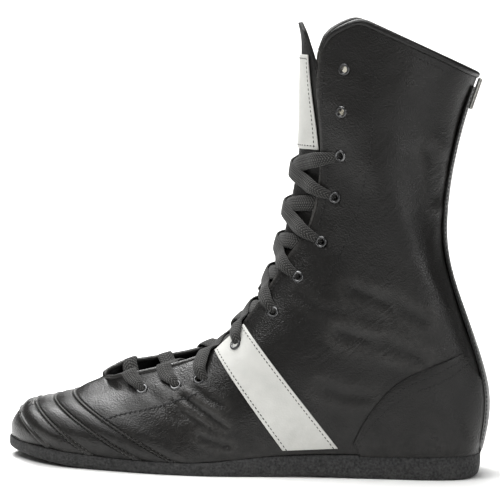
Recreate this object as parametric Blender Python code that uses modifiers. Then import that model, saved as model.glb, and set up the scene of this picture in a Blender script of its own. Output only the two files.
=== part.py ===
# Boxing shoe, left foot, as an assembly of separate pieces.
# Frame: toe towards -X, heel towards +X, outer (lateral) side towards -Y, floor at z = 0.
# Sizes are written in millimetres and turned into metres when a mesh is made.

from collections import namedtuple
from math import acos, asin, cos, pi, sin

import bmesh
import bpy
import numpy as np
from mathutils import Matrix, Vector

MM = 0.001

# Driving dimensions
WALL = 1.8              # leather and lining of the upper
GAP = 0.3               # clearance between pieces that touch on the real shoe
SOLE_SEAT = 0.50        # clearance of the curved feather line over the outsole
SOLE_OVERHANG = 1.2     # the outsole stands this far outside the feather line
TOE_SPRING = 5.5        # lift of the outsole under the toe
ARCH_LIFT = 1.2         # lift of the outsole under the waist
HEEL_BEVEL = 2.0        # lift of the outsole at the back of the heel
INSOLE_THICKNESS = 2.5
TONGUE_THICKNESS = 2.8
TONGUE_DEPTH = 2.0      # room between the flaps and the tongue, where the lace runs
OVERLAY = 1.1           # thickness of bands, counters and backstay
OVERLAY_GAP = 0.45      # clearance of an overlay over the curved upper
BINDING_RADIUS = 2.0
EYELET_HOLE = 5.4
EYELET_FLANGE = 7.6
EYELET_BORE = 3.8
LACE_WIDTH = 8.4
LACE_THICKNESS = 1.2
SEAM_RIDGE = 0.8        # height of the raised seams across the toe
THROAT_LIP = 6.0        # how far the rim of the throat stands up at its front end

LATERAL, MEDIAL = -1, 1
SIDES = {"lateral": LATERAL, "medial": MEDIAL}

# The last, as slanted sections from the crown (top of the foot, front of the leg) to the base
# (feather line, then the back of the heel and leg). half is the widest half-width, at is where along
# the section it lies, base_half is the half-width at the feather line, mid is the centre's Y.
Section = namedtuple(
    "Section", "name crown_x crown_z base_x base_z half at base_half mid crown_power base_power")
SECTIONS = [
    Section("toe tip",      -142.0, 17.8, -141.5, 12.0,  0.0, 0.80,  0.0, 5.0, 2.2, 2.0),
    Section("toe seam 1",   -136.5, 28.6, -117.0, 10.7, 34.5, 0.84, 33.3, 5.5, 2.2, 2.0),
    Section("toe seam 2",   -127.0, 34.4,  -91.5,  8.8, 42.2, 0.86, 41.0, 4.5, 2.2, 2.0),
    Section("toe seam 3",   -115.5, 37.2,  -62.5,  7.8, 46.3, 0.87, 45.2, 3.0, 2.2, 2.0),
    Section("toe seam 4",   -104.0, 40.8,  -41.5,  7.8, 47.3, 0.87, 46.2, 1.5, 2.2, 2.0),
    Section("throat front",  -86.0, 46.2,  -22.0,  8.4, 46.2, 0.86, 45.0, 0.0, 2.1, 2.0),
    Section("vamp",          -65.0, 54.0,   -4.0, 10.2, 43.8, 0.82, 42.3, -0.8, 2.2, 2.0),
    Section("low instep",    -41.5, 62.2,   14.0, 12.2, 41.2, 0.76, 39.2, -1.2, 2.4, 2.0),
    Section("instep",        -19.0, 74.0,   36.0, 13.8, 39.4, 0.70, 36.6, -1.3, 2.6, 2.0),
    Section("high instep",    -2.5, 93.5,   58.0, 14.4, 38.3, 0.64, 34.8, -1.0, 2.6, 2.1),
    Section("ankle bend",      9.5, 117.0,  82.0, 14.4, 37.6, 0.58, 33.8, -0.5, 2.3, 2.3),
    Section("ankle",          16.0, 140.0, 106.0, 14.8, 37.0, 0.54, 33.4, 0.0, 2.0, 2.6),
    Section("heel side",      19.5, 160.0, 128.0, 15.4, 36.6, 0.52, 29.0, 0.0, 1.8, 2.8),
    Section("heel turn",      22.2, 178.0, 141.0, 15.5, 36.4, 0.51, 16.0, 0.0, 1.8, 2.9),
    Section("heel seat",      23.4, 192.5, 144.0, 16.0, 36.4, 0.50,  0.0, 0.0, 1.8, 3.0),
    Section("heel",           23.6, 207.0, 147.3, 38.0, 36.7, 0.50,  0.0, 0.0, 1.8, 2.9),
    Section("heel top",       23.4, 221.0, 143.7, 63.0, 37.0, 0.50,  0.0, 0.0, 1.8, 2.7),
    Section("above heel",     23.0, 234.0, 132.1, 94.0, 37.4, 0.50,  0.0, 0.0, 1.8, 2.5),
    Section("tendon",         22.8, 245.5, 119.8, 128.0, 37.8, 0.50, 0.0, 0.0, 1.8, 2.4),
    Section("low leg",        22.4, 256.0, 116.7, 158.0, 38.3, 0.50, 0.0, 0.0, 1.8, 2.3),
    Section("leg",            22.0, 265.5, 119.5, 189.0, 39.0, 0.50, 0.0, 0.0, 1.8, 2.3),
    Section("under collar",   22.0, 277.0, 125.6, 219.0, 40.0, 0.50, 0.0, 0.0, 1.8, 2.3),
    Section("collar",         22.0, 286.0, 132.0, 240.5, 41.0, 0.50, 0.0, 0.0, 1.8, 2.3),
]
HEEL_SEAT = 14          # section where the feather line closes at the back of the heel
COLLAR = len(SECTIONS) - 1
TOE_SEAMS = (1, 2, 3, 4)

# Half-width of the throat opening, by section.
Throat = namedtuple("Throat", "u half_gap")
THROAT = [
    Throat(5.1, 0.0), Throat(5.35, 9.5), Throat(6.0, 14.5), Throat(8.0, 15.0), Throat(10.0, 17.5),
    Throat(12.0, 21.0), Throat(14.0, 22.5), Throat(18.0, 23.8), Throat(19.8, 26.0), Throat(20.6, 29.5),
    Throat(21.3, 34.0), Throat(21.8, 37.0), Throat(22.0, 38.3),
]
THROAT_FRONT = THROAT[0].u

# Eyelets on each side, in the side view.
Eyelet = namedtuple("Eyelet", "x z")
EYELETS = [
    Eyelet(-61.5, 47.5), Eyelet(-41.5, 51.5), Eyelet(-27.5, 55.8), Eyelet(-6.0, 76.2), Eyelet(15.0, 97.3),
    Eyelet(29.0, 118.8), Eyelet(42.0, 140.2), Eyelet(49.0, 167.0), Eyelet(51.2, 192.0), Eyelet(50.6, 218.0),
    Eyelet(51.2, 243.0),
]
LACED = 9               # eyelets that carry the lace

# Side band: its front and rear edges in the side view, from the feather line up to the throat.
BandEdge = namedtuple("BandEdge", "low_x low_z high_x high_z")
BAND_FRONT = BandEdge(23.5, 16.5, -18.5, 71.0)
BAND_REAR = BandEdge(56.5, 18.5, -1.5, 88.0)

# Upper edge of the heel counter in the side view, from the feather line back to the backstay.
CounterPoint = namedtuple("CounterPoint", "x z")
COUNTER_EDGE = [
    CounterPoint(64.5, 18.5), CounterPoint(70.0, 32.0), CounterPoint(78.0, 45.0), CounterPoint(93.0, 60.0),
    CounterPoint(114.0, 70.5), CounterPoint(128.0, 77.0),
]

# Place of the counter's lower edge on the sections, higher round the turn of the heel.
CounterFoot = namedtuple("CounterFoot", "u t")
COUNTER_FOOT = [CounterFoot(11.0, 0.94), CounterFoot(12.4, 0.86)]

# Half-width of the backstay from the feather line up to the collar.
BackstayWidth = namedtuple("BackstayWidth", "u half")
BACKSTAY = [
    BackstayWidth(14.05, 19.0), BackstayWidth(15.0, 21.0), BackstayWidth(16.0, 22.5), BackstayWidth(17.0, 21.5),
    BackstayWidth(18.0, 17.5), BackstayWidth(20.0, 15.0), BackstayWidth(21.7, 15.0),
]


# The last as a smooth surface

def spline_table(rows):
    """Second derivatives of natural cubic splines through the rows, one column each."""
    values = np.array(rows, float)
    count = len(values)
    system = np.zeros((count, count))
    right = np.zeros_like(values)
    system[0, 0] = system[-1, -1] = 1.0
    for i in range(1, count - 1):
        system[i, i - 1:i + 2] = (1.0, 4.0, 1.0)
        right[i] = 6.0 * (values[i - 1] - 2.0 * values[i] + values[i + 1])
    return values, np.linalg.solve(system, right)


def mirrored_toe_row(section):
    """The first section seen through the toe tip, so that the toe comes out round."""
    row = list(section[1:])
    row[4] = -row[4]
    row[6] = -row[6]
    return row


LAST_VALUES, LAST_CURVES = spline_table(
    [mirrored_toe_row(SECTIONS[2]), mirrored_toe_row(SECTIONS[1])] + [s[1:] for s in SECTIONS])
FIRST_ROW = 2           # rows added before the toe tip


def spline_point(values, curves, place):
    """Point of the splines at a place counted in rows."""
    i = min(max(int(place), 0), len(values) - 2)
    t = place - i
    s = 1.0 - t
    bend = (s ** 3 - s) * curves[i] + (t ** 3 - t) * curves[i + 1]
    return s * values[i] + t * values[i + 1] + bend / 6.0


def section_at(u):
    """All columns of the section table between two sections, with a level feather line round the heel."""
    section = Section("", *spline_point(LAST_VALUES, LAST_CURVES, u + FIRST_ROW))
    if u >= HEEL_SEAT:
        section = section._replace(base_half=0.0)
    elif u > HEEL_SEAT - 2:
        side, seat = SECTIONS[HEEL_SEAT - 2], SECTIONS[HEEL_SEAT]
        level = np.interp(u, [HEEL_SEAT - 2, HEEL_SEAT], [side.base_z, seat.base_z])
        section = section._replace(base_z=level)
    return section


def last_point(u, t, side):
    """Point of the last's surface. t runs from the crown (0) over the widest line (0.5) to the base (1)."""
    s = section_at(u)
    if t <= 0.5:
        angle = max(t, 0.0) * pi
        along = s.at * (1.0 - max(cos(angle), 0.0) ** (2.0 / s.crown_power))
        half = s.half * sin(angle) ** (2.0 / s.crown_power)
    else:
        angle = (min(t, 1.0) - 0.5) * pi
        along = s.at + (1.0 - s.at) * sin(angle) ** (2.0 / s.base_power)
        half = s.base_half + (s.half - s.base_half) * max(cos(angle), 0.0) ** (2.0 / s.base_power)
    return np.array([s.crown_x + along * (s.base_x - s.crown_x),
                     s.mid + side * half,
                     s.crown_z + along * (s.base_z - s.crown_z)])


def last_normal(u, t, side):
    """Outward normal of the last's surface."""
    step_u, step_t = 0.01, 0.004
    u_low, u_high = max(u - step_u, 0.0), min(u + step_u, COLLAR)
    t_low, t_high = max(t - step_t, 0.0), min(t + step_t, 1.0)
    along_u = last_point(u_high, t, side) - last_point(u_low, t, side)
    along_t = last_point(u, t_high, side) - last_point(u, t_low, side)
    normal = np.cross(along_u, along_t) * side
    return normal / np.linalg.norm(normal)


def skin(u, t, side, lift=0.0):
    """Point of the upper's outer face, lifted outwards."""
    return last_point(u, t, side) + lift * last_normal(u, t, side)


def t_at_half(u, half):
    """Place on the crown half of a section where it is this wide."""
    s = section_at(u)
    return asin(min(half / s.half, 1.0) ** (s.crown_power / 2.0)) / pi


def t_at_back(u, half):
    """Place on the base half of a closed section where it is this wide."""
    s = section_at(u)
    return 0.5 + acos(min(half / s.half, 1.0) ** (s.base_power / 2.0)) / pi


def front_section(z, half):
    """Section whose crown side is at this height where it is this wide."""
    low, high = 3.0, float(COLLAR)
    for _ in range(30):
        u = (low + high) / 2
        if last_point(u, t_at_half(u, half), LATERAL)[2] < z:
            low = u
        else:
            high = u
    return u


def interpolate(rows, u):
    """Second column of a two-column table at the place u."""
    return float(np.interp(u, [r[0] for r in rows], [r[1] for r in rows]))


def throat_t(u):
    """Place of the throat's edge on a section, 0 where the crown is closed."""
    if u <= THROAT_FRONT:
        return 0.0
    return t_at_half(u, interpolate(THROAT, u))


def locate(x, z, side):
    """Section and place on it that lie at x, z in the side view."""
    u, t = 8.0, 0.35
    best = 1e9
    for u_try in np.arange(0.5, COLLAR, 0.5):
        for t_try in np.arange(0.05, 1.0, 0.05):
            p = last_point(u_try, t_try, side)
            miss = (p[0] - x) ** 2 + (p[2] - z) ** 2
            if miss < best:
                best, u, t = miss, u_try, t_try
    for _ in range(12):
        p = last_point(u, t, side)
        along_u = (last_point(u + 0.01, t, side) - p) / 0.01
        along_t = (last_point(u, t + 0.001, side) - p) / 0.001
        system = np.array([[along_u[0], along_t[0]], [along_u[2], along_t[2]]])
        du, dt = np.linalg.solve(system, [x - p[0], z - p[2]])
        u = min(max(u + du, 0.05), COLLAR)
        t = min(max(t + dt, 0.01), 0.995)
    return u, t


# Scene and mesh helpers

def clear_scene():
    for item in list(bpy.data.objects):
        bpy.data.objects.remove(item, do_unlink=True)


def new_collection(name):
    collection = bpy.data.collections.new(name)
    bpy.context.scene.collection.children.link(collection)
    return collection


def make_material(name, color, roughness, metallic=0.0):
    material = bpy.data.materials.new(name)
    material.use_nodes = True
    shader = material.node_tree.nodes["Principled BSDF"]
    shader.inputs["Base Color"].default_value = (*color, 1.0)
    shader.inputs["Roughness"].default_value = roughness
    shader.inputs["Metallic"].default_value = metallic
    return material


def add_object(name, mesh, material):
    item = bpy.data.objects.new(name, mesh)
    mesh.materials.clear()
    mesh.materials.append(material)
    parts.objects.link(item)
    item.parent = shoe
    return item


def metres(point):
    return Vector([float(v) * MM for v in point])


def grid_mesh(name, rows, closed=False):
    """Mesh of quads over rows of points, with points that coincide joined."""
    mesh = bpy.data.meshes.new(name)
    bm = bmesh.new()
    grid = [[bm.verts.new(metres(p)) for p in row] for row in rows]
    for low, high in zip(grid, grid[1:]):
        count = len(low)
        for j in range(count if closed else count - 1):
            k = (j + 1) % count
            bm.faces.new((low[j], low[k], high[k], high[j]))
    if closed:
        bm.faces.new(grid[0])
        bm.faces.new(grid[-1])
    bmesh.ops.remove_doubles(bm, verts=bm.verts, dist=0.02 * MM)
    bmesh.ops.dissolve_degenerate(bm, edges=bm.edges, dist=0.01 * MM)
    bmesh.ops.recalc_face_normals(bm, faces=bm.faces)
    bm.to_mesh(mesh)
    bm.free()
    mesh.shade_smooth()
    return mesh


def add_wall(item, thickness, outward):
    """Solid wall on an open surface, growing outwards or inwards from it."""
    wall = item.modifiers.new("Wall", "SOLIDIFY")
    wall.thickness = thickness * MM
    wall.offset = 1.0 if outward else -1.0
    wall.use_even_offset = True
    return wall


def face_outwards(mesh, inside):
    """Turn an open surface so that its faces point away from a point inside the shoe."""
    bm = bmesh.new()
    bm.from_mesh(mesh)
    middle = metres(inside)
    outward = sum((f.calc_center_median() - middle).dot(f.normal) * f.calc_area() for f in bm.faces)
    if outward < 0.0:
        bmesh.ops.reverse_faces(bm, faces=bm.faces)
    bm.to_mesh(mesh)
    bm.free()


def spread(first, last, count):
    return [first + (last - first) * i / (count - 1) for i in range(count)]


# Upper

SHOE_MIDDLE = (60.0, 0.0, 110.0)
SEAM_STEP = 0.13        # half the width of a raised seam, in sections


def upper_stations():
    """Places of the upper's sections, close together at the toe seams and the throat's front end."""
    stations = [0.0, 0.3, 0.6]
    for seam in TOE_SEAMS:
        stations += [seam - SEAM_STEP, seam, seam + SEAM_STEP, seam + 0.5]
    stations += [5.1, 5.2, 5.35, 5.65]
    stations += list(np.arange(6.0, 14.1, 0.5))
    stations += list(np.arange(15.0, 20.1, 1.0))
    stations += [20.6, 21.2, 21.5, 21.8, 22.0]
    return stations


def upper_lift(u, t):
    """Raised toe seams and the rim that stands up round the front of the throat."""
    lift = sum(SEAM_RIDGE for seam in TOE_SEAMS if abs(u - seam) < 1e-6) * min(1.0, (1.0 - t) / 0.1)
    rim = float(np.interp(u, [4.0, 5.6, 8.0], [0.0, 1.0, 0.0]))
    beyond_edge = max(0.0, 1.0 - (t - throat_t(u)) / 0.10)
    return lift + THROAT_LIP * rim * beyond_edge ** 2


def upper_point(u, t, side):
    """Point of the upper's outer face with its seams and rim."""
    return skin(u, t, side, upper_lift(u, t))


def upper_row(u):
    """Lateral and medial points of one section, each from the crown or the throat's edge to the base."""
    crown_columns, base_columns = 5, 4
    edge = throat_t(u)
    places = spread(edge, 0.5, crown_columns + 1) + spread(0.5, 1.0, base_columns + 1)[1:]
    return [upper_point(u, t, LATERAL) for t in places], [upper_point(u, t, MEDIAL) for t in places]


def close_on_middle(points, place, u):
    """Put a point that both sides share exactly on the middle line."""
    points[place][1] = section_at(u).mid
    return points


def make_upper():
    lateral_rows, medial_rows = [], []
    for u in upper_stations():
        lateral, medial = upper_row(u)
        for points in (lateral, medial):
            if u <= THROAT_FRONT:
                close_on_middle(points, 0, u)
            if u >= HEEL_SEAT:
                close_on_middle(points, -1, u)
            if u == 0.0:
                for place in range(len(points)):
                    close_on_middle(points, place, u)
        lateral_rows.append(lateral)
        medial_rows.append(medial)
    mesh = bpy.data.meshes.new("upper")
    bm = bmesh.new()
    for rows in (lateral_rows, medial_rows):
        part = grid_mesh("half", rows)
        bm.from_mesh(part)
        bpy.data.meshes.remove(part)
    bmesh.ops.remove_doubles(bm, verts=bm.verts, dist=0.02 * MM)
    bmesh.ops.recalc_face_normals(bm, faces=bm.faces)
    bm.to_mesh(mesh)
    bm.free()
    mesh.shade_smooth()
    face_outwards(mesh, SHOE_MIDDLE)
    upper = add_object("upper", mesh, black_leather)
    add_wall(upper, WALL, outward=False)
    return upper


# Outsole and insole

def feather(u, inset=0.0):
    """Lateral and medial points of the feather line in plan, moved inwards or, if negative, outwards."""
    points = []
    for side in (LATERAL, MEDIAL):
        step = 0.02
        u_low, u_high = max(u - step, 0.0), min(u + step, HEEL_SEAT)
        along = last_point(u_high, 1.0, side) - last_point(u_low, 1.0, side)
        normal = np.array([along[1], -along[0]]) * -side
        if u < step:
            normal = np.array([-1.0, 0.0])
        if u > HEEL_SEAT - step:
            normal = np.array([1.0, 0.0])
        normal = normal / np.linalg.norm(normal)
        p = last_point(u, 1.0, side)
        points.append(np.array([p[0] - inset * normal[0], p[1] - inset * normal[1], p[2]]))
    return points


def feather_height(x):
    """Height of the feather line at x."""
    stations = np.arange(0.0, HEEL_SEAT + 0.05, 0.1)
    sections = [section_at(u) for u in stations]
    return float(np.interp(x, [s.base_x for s in sections], [s.base_z for s in sections]))


# Stretches of the outsole that lift off the floor, by x.
TOE_LIFT_START, TOE_LIFT_END = -78.0, -142.0
WAIST_START, WAIST_END = 8.0, 72.0
HEEL_EDGE_START, HEEL_EDGE_END = 132.0, 146.0


def sole_bottom(x):
    """Height of the outsole's underside: flat under forefoot and heel, lifted at toe, waist and heel edge."""
    if x < TOE_LIFT_START:
        return TOE_SPRING * ((TOE_LIFT_START - x) / (TOE_LIFT_START - TOE_LIFT_END)) ** 1.7
    if WAIST_START < x < WAIST_END:
        return ARCH_LIFT * sin(pi * (x - WAIST_START) / (WAIST_END - WAIST_START)) ** 2
    if x > HEEL_EDGE_START:
        return HEEL_BEVEL * ((x - HEEL_EDGE_START) / (HEEL_EDGE_END - HEEL_EDGE_START)) ** 2
    return 0.0


def across(lateral, medial, count):
    return [lateral + (medial - lateral) * i / (count - 1) for i in range(count)]


def with_height(points, heights):
    return [np.array([p[0], p[1], z]) for p, z in zip(points, heights)]


def sole_stations():
    return [0.0, 0.15, 0.35, 0.6] + list(np.arange(1.0, 12.1, 0.5)) + [12.4, 12.8, 13.2, 13.55, 13.8, 14.0]


def make_outsole():
    edge_radius = 1.6
    rows = []
    for u in sole_stations():
        lateral, medial = feather(u, -SOLE_OVERHANG)
        low_lateral, low_medial = feather(u, -SOLE_OVERHANG + edge_radius * 0.6)
        top = across(lateral, medial, 4)
        bottom = across(low_lateral, low_medial, 4)
        side_foot = sole_bottom(lateral[0]) + edge_radius
        ring = with_height(top, [feather_height(p[0]) - SOLE_SEAT for p in top])
        ring += with_height([medial], [side_foot])
        ring += with_height(bottom[::-1], [sole_bottom(p[0]) for p in bottom[::-1]])
        ring += with_height([lateral], [side_foot])
        rows.append(ring)
    mesh = grid_mesh("outsole", rows, closed=True)
    return add_object("outsole", mesh, rubber)


def make_insole():
    edge_inset = WALL + 1.5
    rows = []
    for u in [0.35, 0.6] + list(np.arange(1.0, 13.1, 1.5)) + [13.4, 13.65]:
        lateral, medial = feather(u, edge_inset)
        flat = across(lateral, medial, 3)
        low = [feather_height(p[0]) + GAP for p in flat]
        ring = with_height(flat, [z + INSOLE_THICKNESS for z in low])
        ring += with_height(flat[::-1], low[::-1])
        rows.append(ring)
    mesh = grid_mesh("insole", rows, closed=True)
    return add_object("insole", mesh, lining)


# Tongue and its patch

TONGUE_FIRST, TONGUE_LAST = 4.2, 20.3
TONGUE_UNDER_FLAP = 11.0        # how far the tongue reaches under each flap
TONGUE_FRONT_SHARE = 0.62       # share of its width that the tongue has at its front end
TONGUE_WIDENING = 0.3           # further share for each section behind that
LEVEL_FIRST, LEVEL_LAST = 17.0, 19.0    # sections between which the tongue's rows turn from slanted to level

# Half-width of the tongue's free top, by height.
TongueTop = namedtuple("TongueTop", "z half")
TONGUE_TOP = [
    TongueTop(222.0, 34.8), TongueTop(236.0, 31.0), TongueTop(243.0, 26.0), TongueTop(250.0, 18.0),
    TongueTop(257.5, 12.0), TongueTop(264.0, 8.0), TongueTop(269.0, 3.0),
]


def tongue_lift(u):
    """Depth of the tongue's outer face: close under the vamp, deeper where the lace runs."""
    seated, free = WALL + GAP + 0.1, WALL + TONGUE_DEPTH
    dip_first, dip_length = 4.7, 0.9
    share = min(max((u - dip_first) / dip_length, 0.0), 1.0)
    return -(seated + (free - seated) * share)


def tongue_half(u):
    """Half-width of the tongue: narrow at its front end, wide under the flaps, tapered at its free top."""
    half = interpolate(THROAT, min(max(u, 5.6), 18.0)) + TONGUE_UNDER_FLAP
    half *= min(1.0, TONGUE_FRONT_SHARE + TONGUE_WIDENING * (u - TONGUE_FIRST))
    return min(half, interpolate(TONGUE_TOP, section_at(u).crown_z))


def tongue_row(u, columns):
    """Points across the tongue, lateral to medial, slanted like the last or level near the top."""
    crown = section_at(u)
    level = min(max((u - LEVEL_FIRST) / (LEVEL_LAST - LEVEL_FIRST), 0.0), 1.0)
    edge = t_at_half(u, tongue_half(u))
    places = [(t, LATERAL) for t in spread(edge, 0.0, columns + 1)]
    places += [(t, MEDIAL) for t in spread(0.0, edge, columns + 1)[1:]]
    row = []
    for t, side in places:
        slanted = last_point(u, t, side)
        half = abs(slanted[1] - crown.mid)
        here = u
        if level > 0.0:
            here = front_section(slanted[2] + level * (crown.crown_z - slanted[2]), half)
        row.append(skin(here, t_at_half(here, half), side, tongue_lift(here)))
    return row


def make_tongue():
    columns = 4
    stations = list(np.arange(TONGUE_FIRST, LEVEL_FIRST + 0.1, 1.0))
    stations += [17.8, 18.4, 18.9, 19.3, 19.6, 19.85, 20.1, TONGUE_LAST]
    mesh = grid_mesh("tongue", [tongue_row(u, columns) for u in stations])
    face_outwards(mesh, SHOE_MIDDLE)
    tongue = add_object("tongue", mesh, black_leather)
    add_wall(tongue, TONGUE_THICKNESS, outward=False)
    return tongue


def make_tongue_patch():
    """Plain patch on the free top of the tongue, a little narrower at its upper end."""
    thickness, low_z, high_z, low_half, high_half = 0.8, 194.0, 250.0, 20.5, 15.0
    rows = []
    for z, half in zip(spread(low_z, high_z, 6), spread(low_half, high_half, 6)):
        row = []
        for y in spread(-half, half, 7):        # an odd count, so that one point is on the middle line
            u = front_section(z, abs(y))
            row.append(skin(u, t_at_half(u, abs(y)), MEDIAL if y > 0 else LATERAL, tongue_lift(u) + GAP))
        rows.append(row)
    mesh = grid_mesh("tongue_patch", rows)
    face_outwards(mesh, SHOE_MIDDLE)
    patch = add_object("tongue_patch", mesh, white_leather)
    add_wall(patch, thickness, outward=True)
    return patch


# Overlays on the upper

def add_overlay(name, rows, material):
    mesh = grid_mesh(name, rows)
    face_outwards(mesh, SHOE_MIDDLE)
    overlay = add_object(name, mesh, material)
    add_wall(overlay, OVERLAY, outward=True)
    return overlay


def make_side_band(name, side):
    rows = []
    steps, columns = 13, 4
    for i in range(steps + 1):
        share = 1.0 - (1.0 - i / steps) ** 1.7      # rows closer together over the shoulder of the instep
        row = []
        for j in range(columns + 1):
            cross = j / columns
            front = np.array([BAND_FRONT.low_x + share * (BAND_FRONT.high_x - BAND_FRONT.low_x),
                              BAND_FRONT.low_z + share * (BAND_FRONT.high_z - BAND_FRONT.low_z)])
            rear = np.array([BAND_REAR.low_x + share * (BAND_REAR.high_x - BAND_REAR.low_x),
                             BAND_REAR.low_z + share * (BAND_REAR.high_z - BAND_REAR.low_z)])
            x, z = front + cross * (rear - front)
            u, t = locate(x, z, side)
            row.append(skin(u, t, side, OVERLAY_GAP))
        rows.append(row)
    return add_overlay("side_band_" + name, rows, white_leather)


def make_heel_counter(name, side):
    """Panel between the counter's upper edge and the feather line or the backstay."""
    values, curves = spline_table(COUNTER_EDGE)
    rows = []
    for place in spread(0.3, len(COUNTER_EDGE) - 1.0, 17):
        x, z = spline_point(values, curves, place)
        u, high = locate(x, z, side)
        low = interpolate(COUNTER_FOOT, u)
        if u > HEEL_SEAT - 1.0:
            width = interpolate(BACKSTAY, u) + 2.0
            low = min(low, t_at_back(u, width))
        rows.append([skin(u, t, side, OVERLAY_GAP) for t in spread(high, low, 6)])
    return add_overlay("heel_counter_" + name, rows, black_leather)


def make_backstay():
    rows = []
    for u in [BACKSTAY[0].u] + [u for u in upper_stations() if u > HEEL_SEAT and u < BACKSTAY[-1].u]:
        edge = t_at_back(u, interpolate(BACKSTAY, u))
        lateral = [skin(u, t, LATERAL, OVERLAY_GAP) for t in spread(edge, 1.0, 4)]
        medial = [skin(u, t, MEDIAL, OVERLAY_GAP) for t in spread(1.0, edge, 4)]
        rows.append(lateral + medial[1:])
    return add_overlay("backstay", rows, black_leather)


def collar_edge():
    """Places along the upper's top edge: up the lateral flap's corner, round the back and down again."""
    corner = [(u, throat_t(u)) for u in spread(20.7, 21.9, 6)]
    top = [(float(COLLAR), t) for t in spread(throat_t(COLLAR), 1.0, 9)]
    lateral = [(u, t, LATERAL) for u, t in corner + top]
    medial = [(u, t, MEDIAL) for u, t in corner + top]
    return lateral + medial[::-1][1:]


def make_collar_binding():
    """Rolled edge along the collar and down the front corners of both flaps."""
    reach = BINDING_RADIUS + GAP
    edge = [skin(u, t, side, -WALL / 2) for u, t, side in collar_edge()]
    normals = [last_normal(u, t, side) for u, t, side in collar_edge()]
    path = []
    for i, (point, normal) in enumerate(zip(edge, normals)):
        along = edge[min(i + 1, len(edge) - 1)] - edge[max(i - 1, 0)]
        out = np.cross(normal, along)
        path.append(point + reach * out / np.linalg.norm(out))
    curve = bpy.data.curves.new("collar_binding", "CURVE")
    curve.dimensions = "3D"
    curve.bevel_depth = BINDING_RADIUS * MM
    curve.bevel_resolution = 1
    curve.use_fill_caps = True
    spline = curve.splines.new("POLY")
    spline.points.add(len(path) - 1)
    for point, p in zip(spline.points, path):
        point.co = (*metres(p), 1.0)
    binding = bpy.data.objects.new("collar_binding", curve)
    curve.materials.append(black_leather)
    parts.objects.link(binding)
    binding.parent = shoe
    return binding


def make_pull_tab():
    """Flat webbing loop that stands behind the backstay under the collar."""
    width, height, depth, webbing, sides = 12.0, 20.0, 2.9, 1.1, 12
    top = skin(21.8, 1.0, LATERAL, OVERLAY_GAP + OVERLAY + GAP)
    foot = skin(21.1, 1.0, LATERAL, OVERLAY_GAP + OVERLAY + GAP)
    up = (top - foot) / np.linalg.norm(top - foot)
    back = np.array([up[2], 0.0, -up[0]])
    centre = foot + up * height / 2 + back * depth / 2
    mesh = bpy.data.meshes.new("pull_tab")
    bm = bmesh.new()
    rings = []
    for inset in (0.0, webbing):
        ring = []
        radius = depth / 2 - inset
        for i in range(sides):
            angle = 2 * pi * i / sides
            stretch = (height / 2 - depth / 2) * (1 if sin(angle) >= 0 else -1)
            ring.append(centre + back * radius * cos(angle) + up * (radius * sin(angle) + stretch))
        rings.append(ring)
    faces = []
    outer = [bm.verts.new(metres(p)) for p in rings[0]]
    inner = [bm.verts.new(metres(p)) for p in rings[1]]
    for i in range(sides):
        k = (i + 1) % sides
        faces.append(bm.faces.new((outer[i], outer[k], inner[k], inner[i])))
    grown = bmesh.ops.extrude_face_region(bm, geom=faces)
    moved = [v for v in grown["geom"] if isinstance(v, bmesh.types.BMVert)]
    bmesh.ops.translate(bm, verts=moved, vec=(0.0, width * MM, 0.0))
    bmesh.ops.translate(bm, verts=bm.verts, vec=(0.0, -width / 2 * MM, 0.0))
    bmesh.ops.recalc_face_normals(bm, faces=bm.faces)
    bm.to_mesh(mesh)
    bm.free()
    return add_object("pull_tab", mesh, white_leather)


# Eyelets

def inside_band(eyelet):
    """True where an eyelet goes through the side band."""
    share = (eyelet.z - BAND_FRONT.low_z) / (BAND_FRONT.high_z - BAND_FRONT.low_z)
    front = BAND_FRONT.low_x + share * (BAND_FRONT.high_x - BAND_FRONT.low_x)
    share = (eyelet.z - BAND_REAR.low_z) / (BAND_REAR.high_z - BAND_REAR.low_z)
    rear = BAND_REAR.low_x + share * (BAND_REAR.high_x - BAND_REAR.low_x)
    return front < eyelet.x < rear


def eyelet_frame(eyelet, side):
    """Place and direction of an eyelet on the upper, and how far it stands off."""
    u, t = locate(eyelet.x, eyelet.z, side)
    stand = GAP + (OVERLAY_GAP + OVERLAY if inside_band(eyelet) else 0.0)
    along_u = upper_point(u + 0.1, t, side) - upper_point(u - 0.1, t, side)
    along_t = upper_point(u, t + 0.03, side) - upper_point(u, t - 0.03, side)
    normal = np.cross(along_u, along_t) * side
    turn = Vector([float(v) for v in normal]).to_track_quat("Z", "Y")
    return metres(upper_point(u, t, side)), turn, stand


def eyelet_profile_mesh():
    """Half section of an eyelet: domed flange, tapered barrel and straight bore."""
    flange, barrel, bore = EYELET_FLANGE / 2, EYELET_HOLE / 2 - GAP, EYELET_BORE / 2
    outline = [(bore, 0.9), (flange, 0.1), (barrel, 0.1), (bore, -1.6)]
    mesh = bpy.data.meshes.new("eyelet")
    bm = bmesh.new()
    verts = [bm.verts.new((x * MM, 0.0, z * MM)) for x, z in outline]
    for low, high in zip(verts, verts[1:] + verts[:1]):
        bm.edges.new((low, high))
    bm.to_mesh(mesh)
    bm.free()
    return mesh


def make_eyelets():
    mesh = eyelet_profile_mesh()
    for side_name, side in SIDES.items():
        for number, eyelet in enumerate(EYELETS, 1):
            place, turn, stand = eyelet_frame(eyelet, side)
            item = add_object("eyelet_%s_%02d" % (side_name, number), mesh, eyelet_metal)
            offset = turn @ Vector((0.0, 0.0, stand * MM))
            item.matrix_world = Matrix.Translation(place + offset) @ turn.to_matrix().to_4x4()
            screw = item.modifiers.new("Turn", "SCREW")
            screw.steps = screw.render_steps = 8
            screw.use_merge_vertices = True
            screw.merge_threshold = 0.00001


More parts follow.
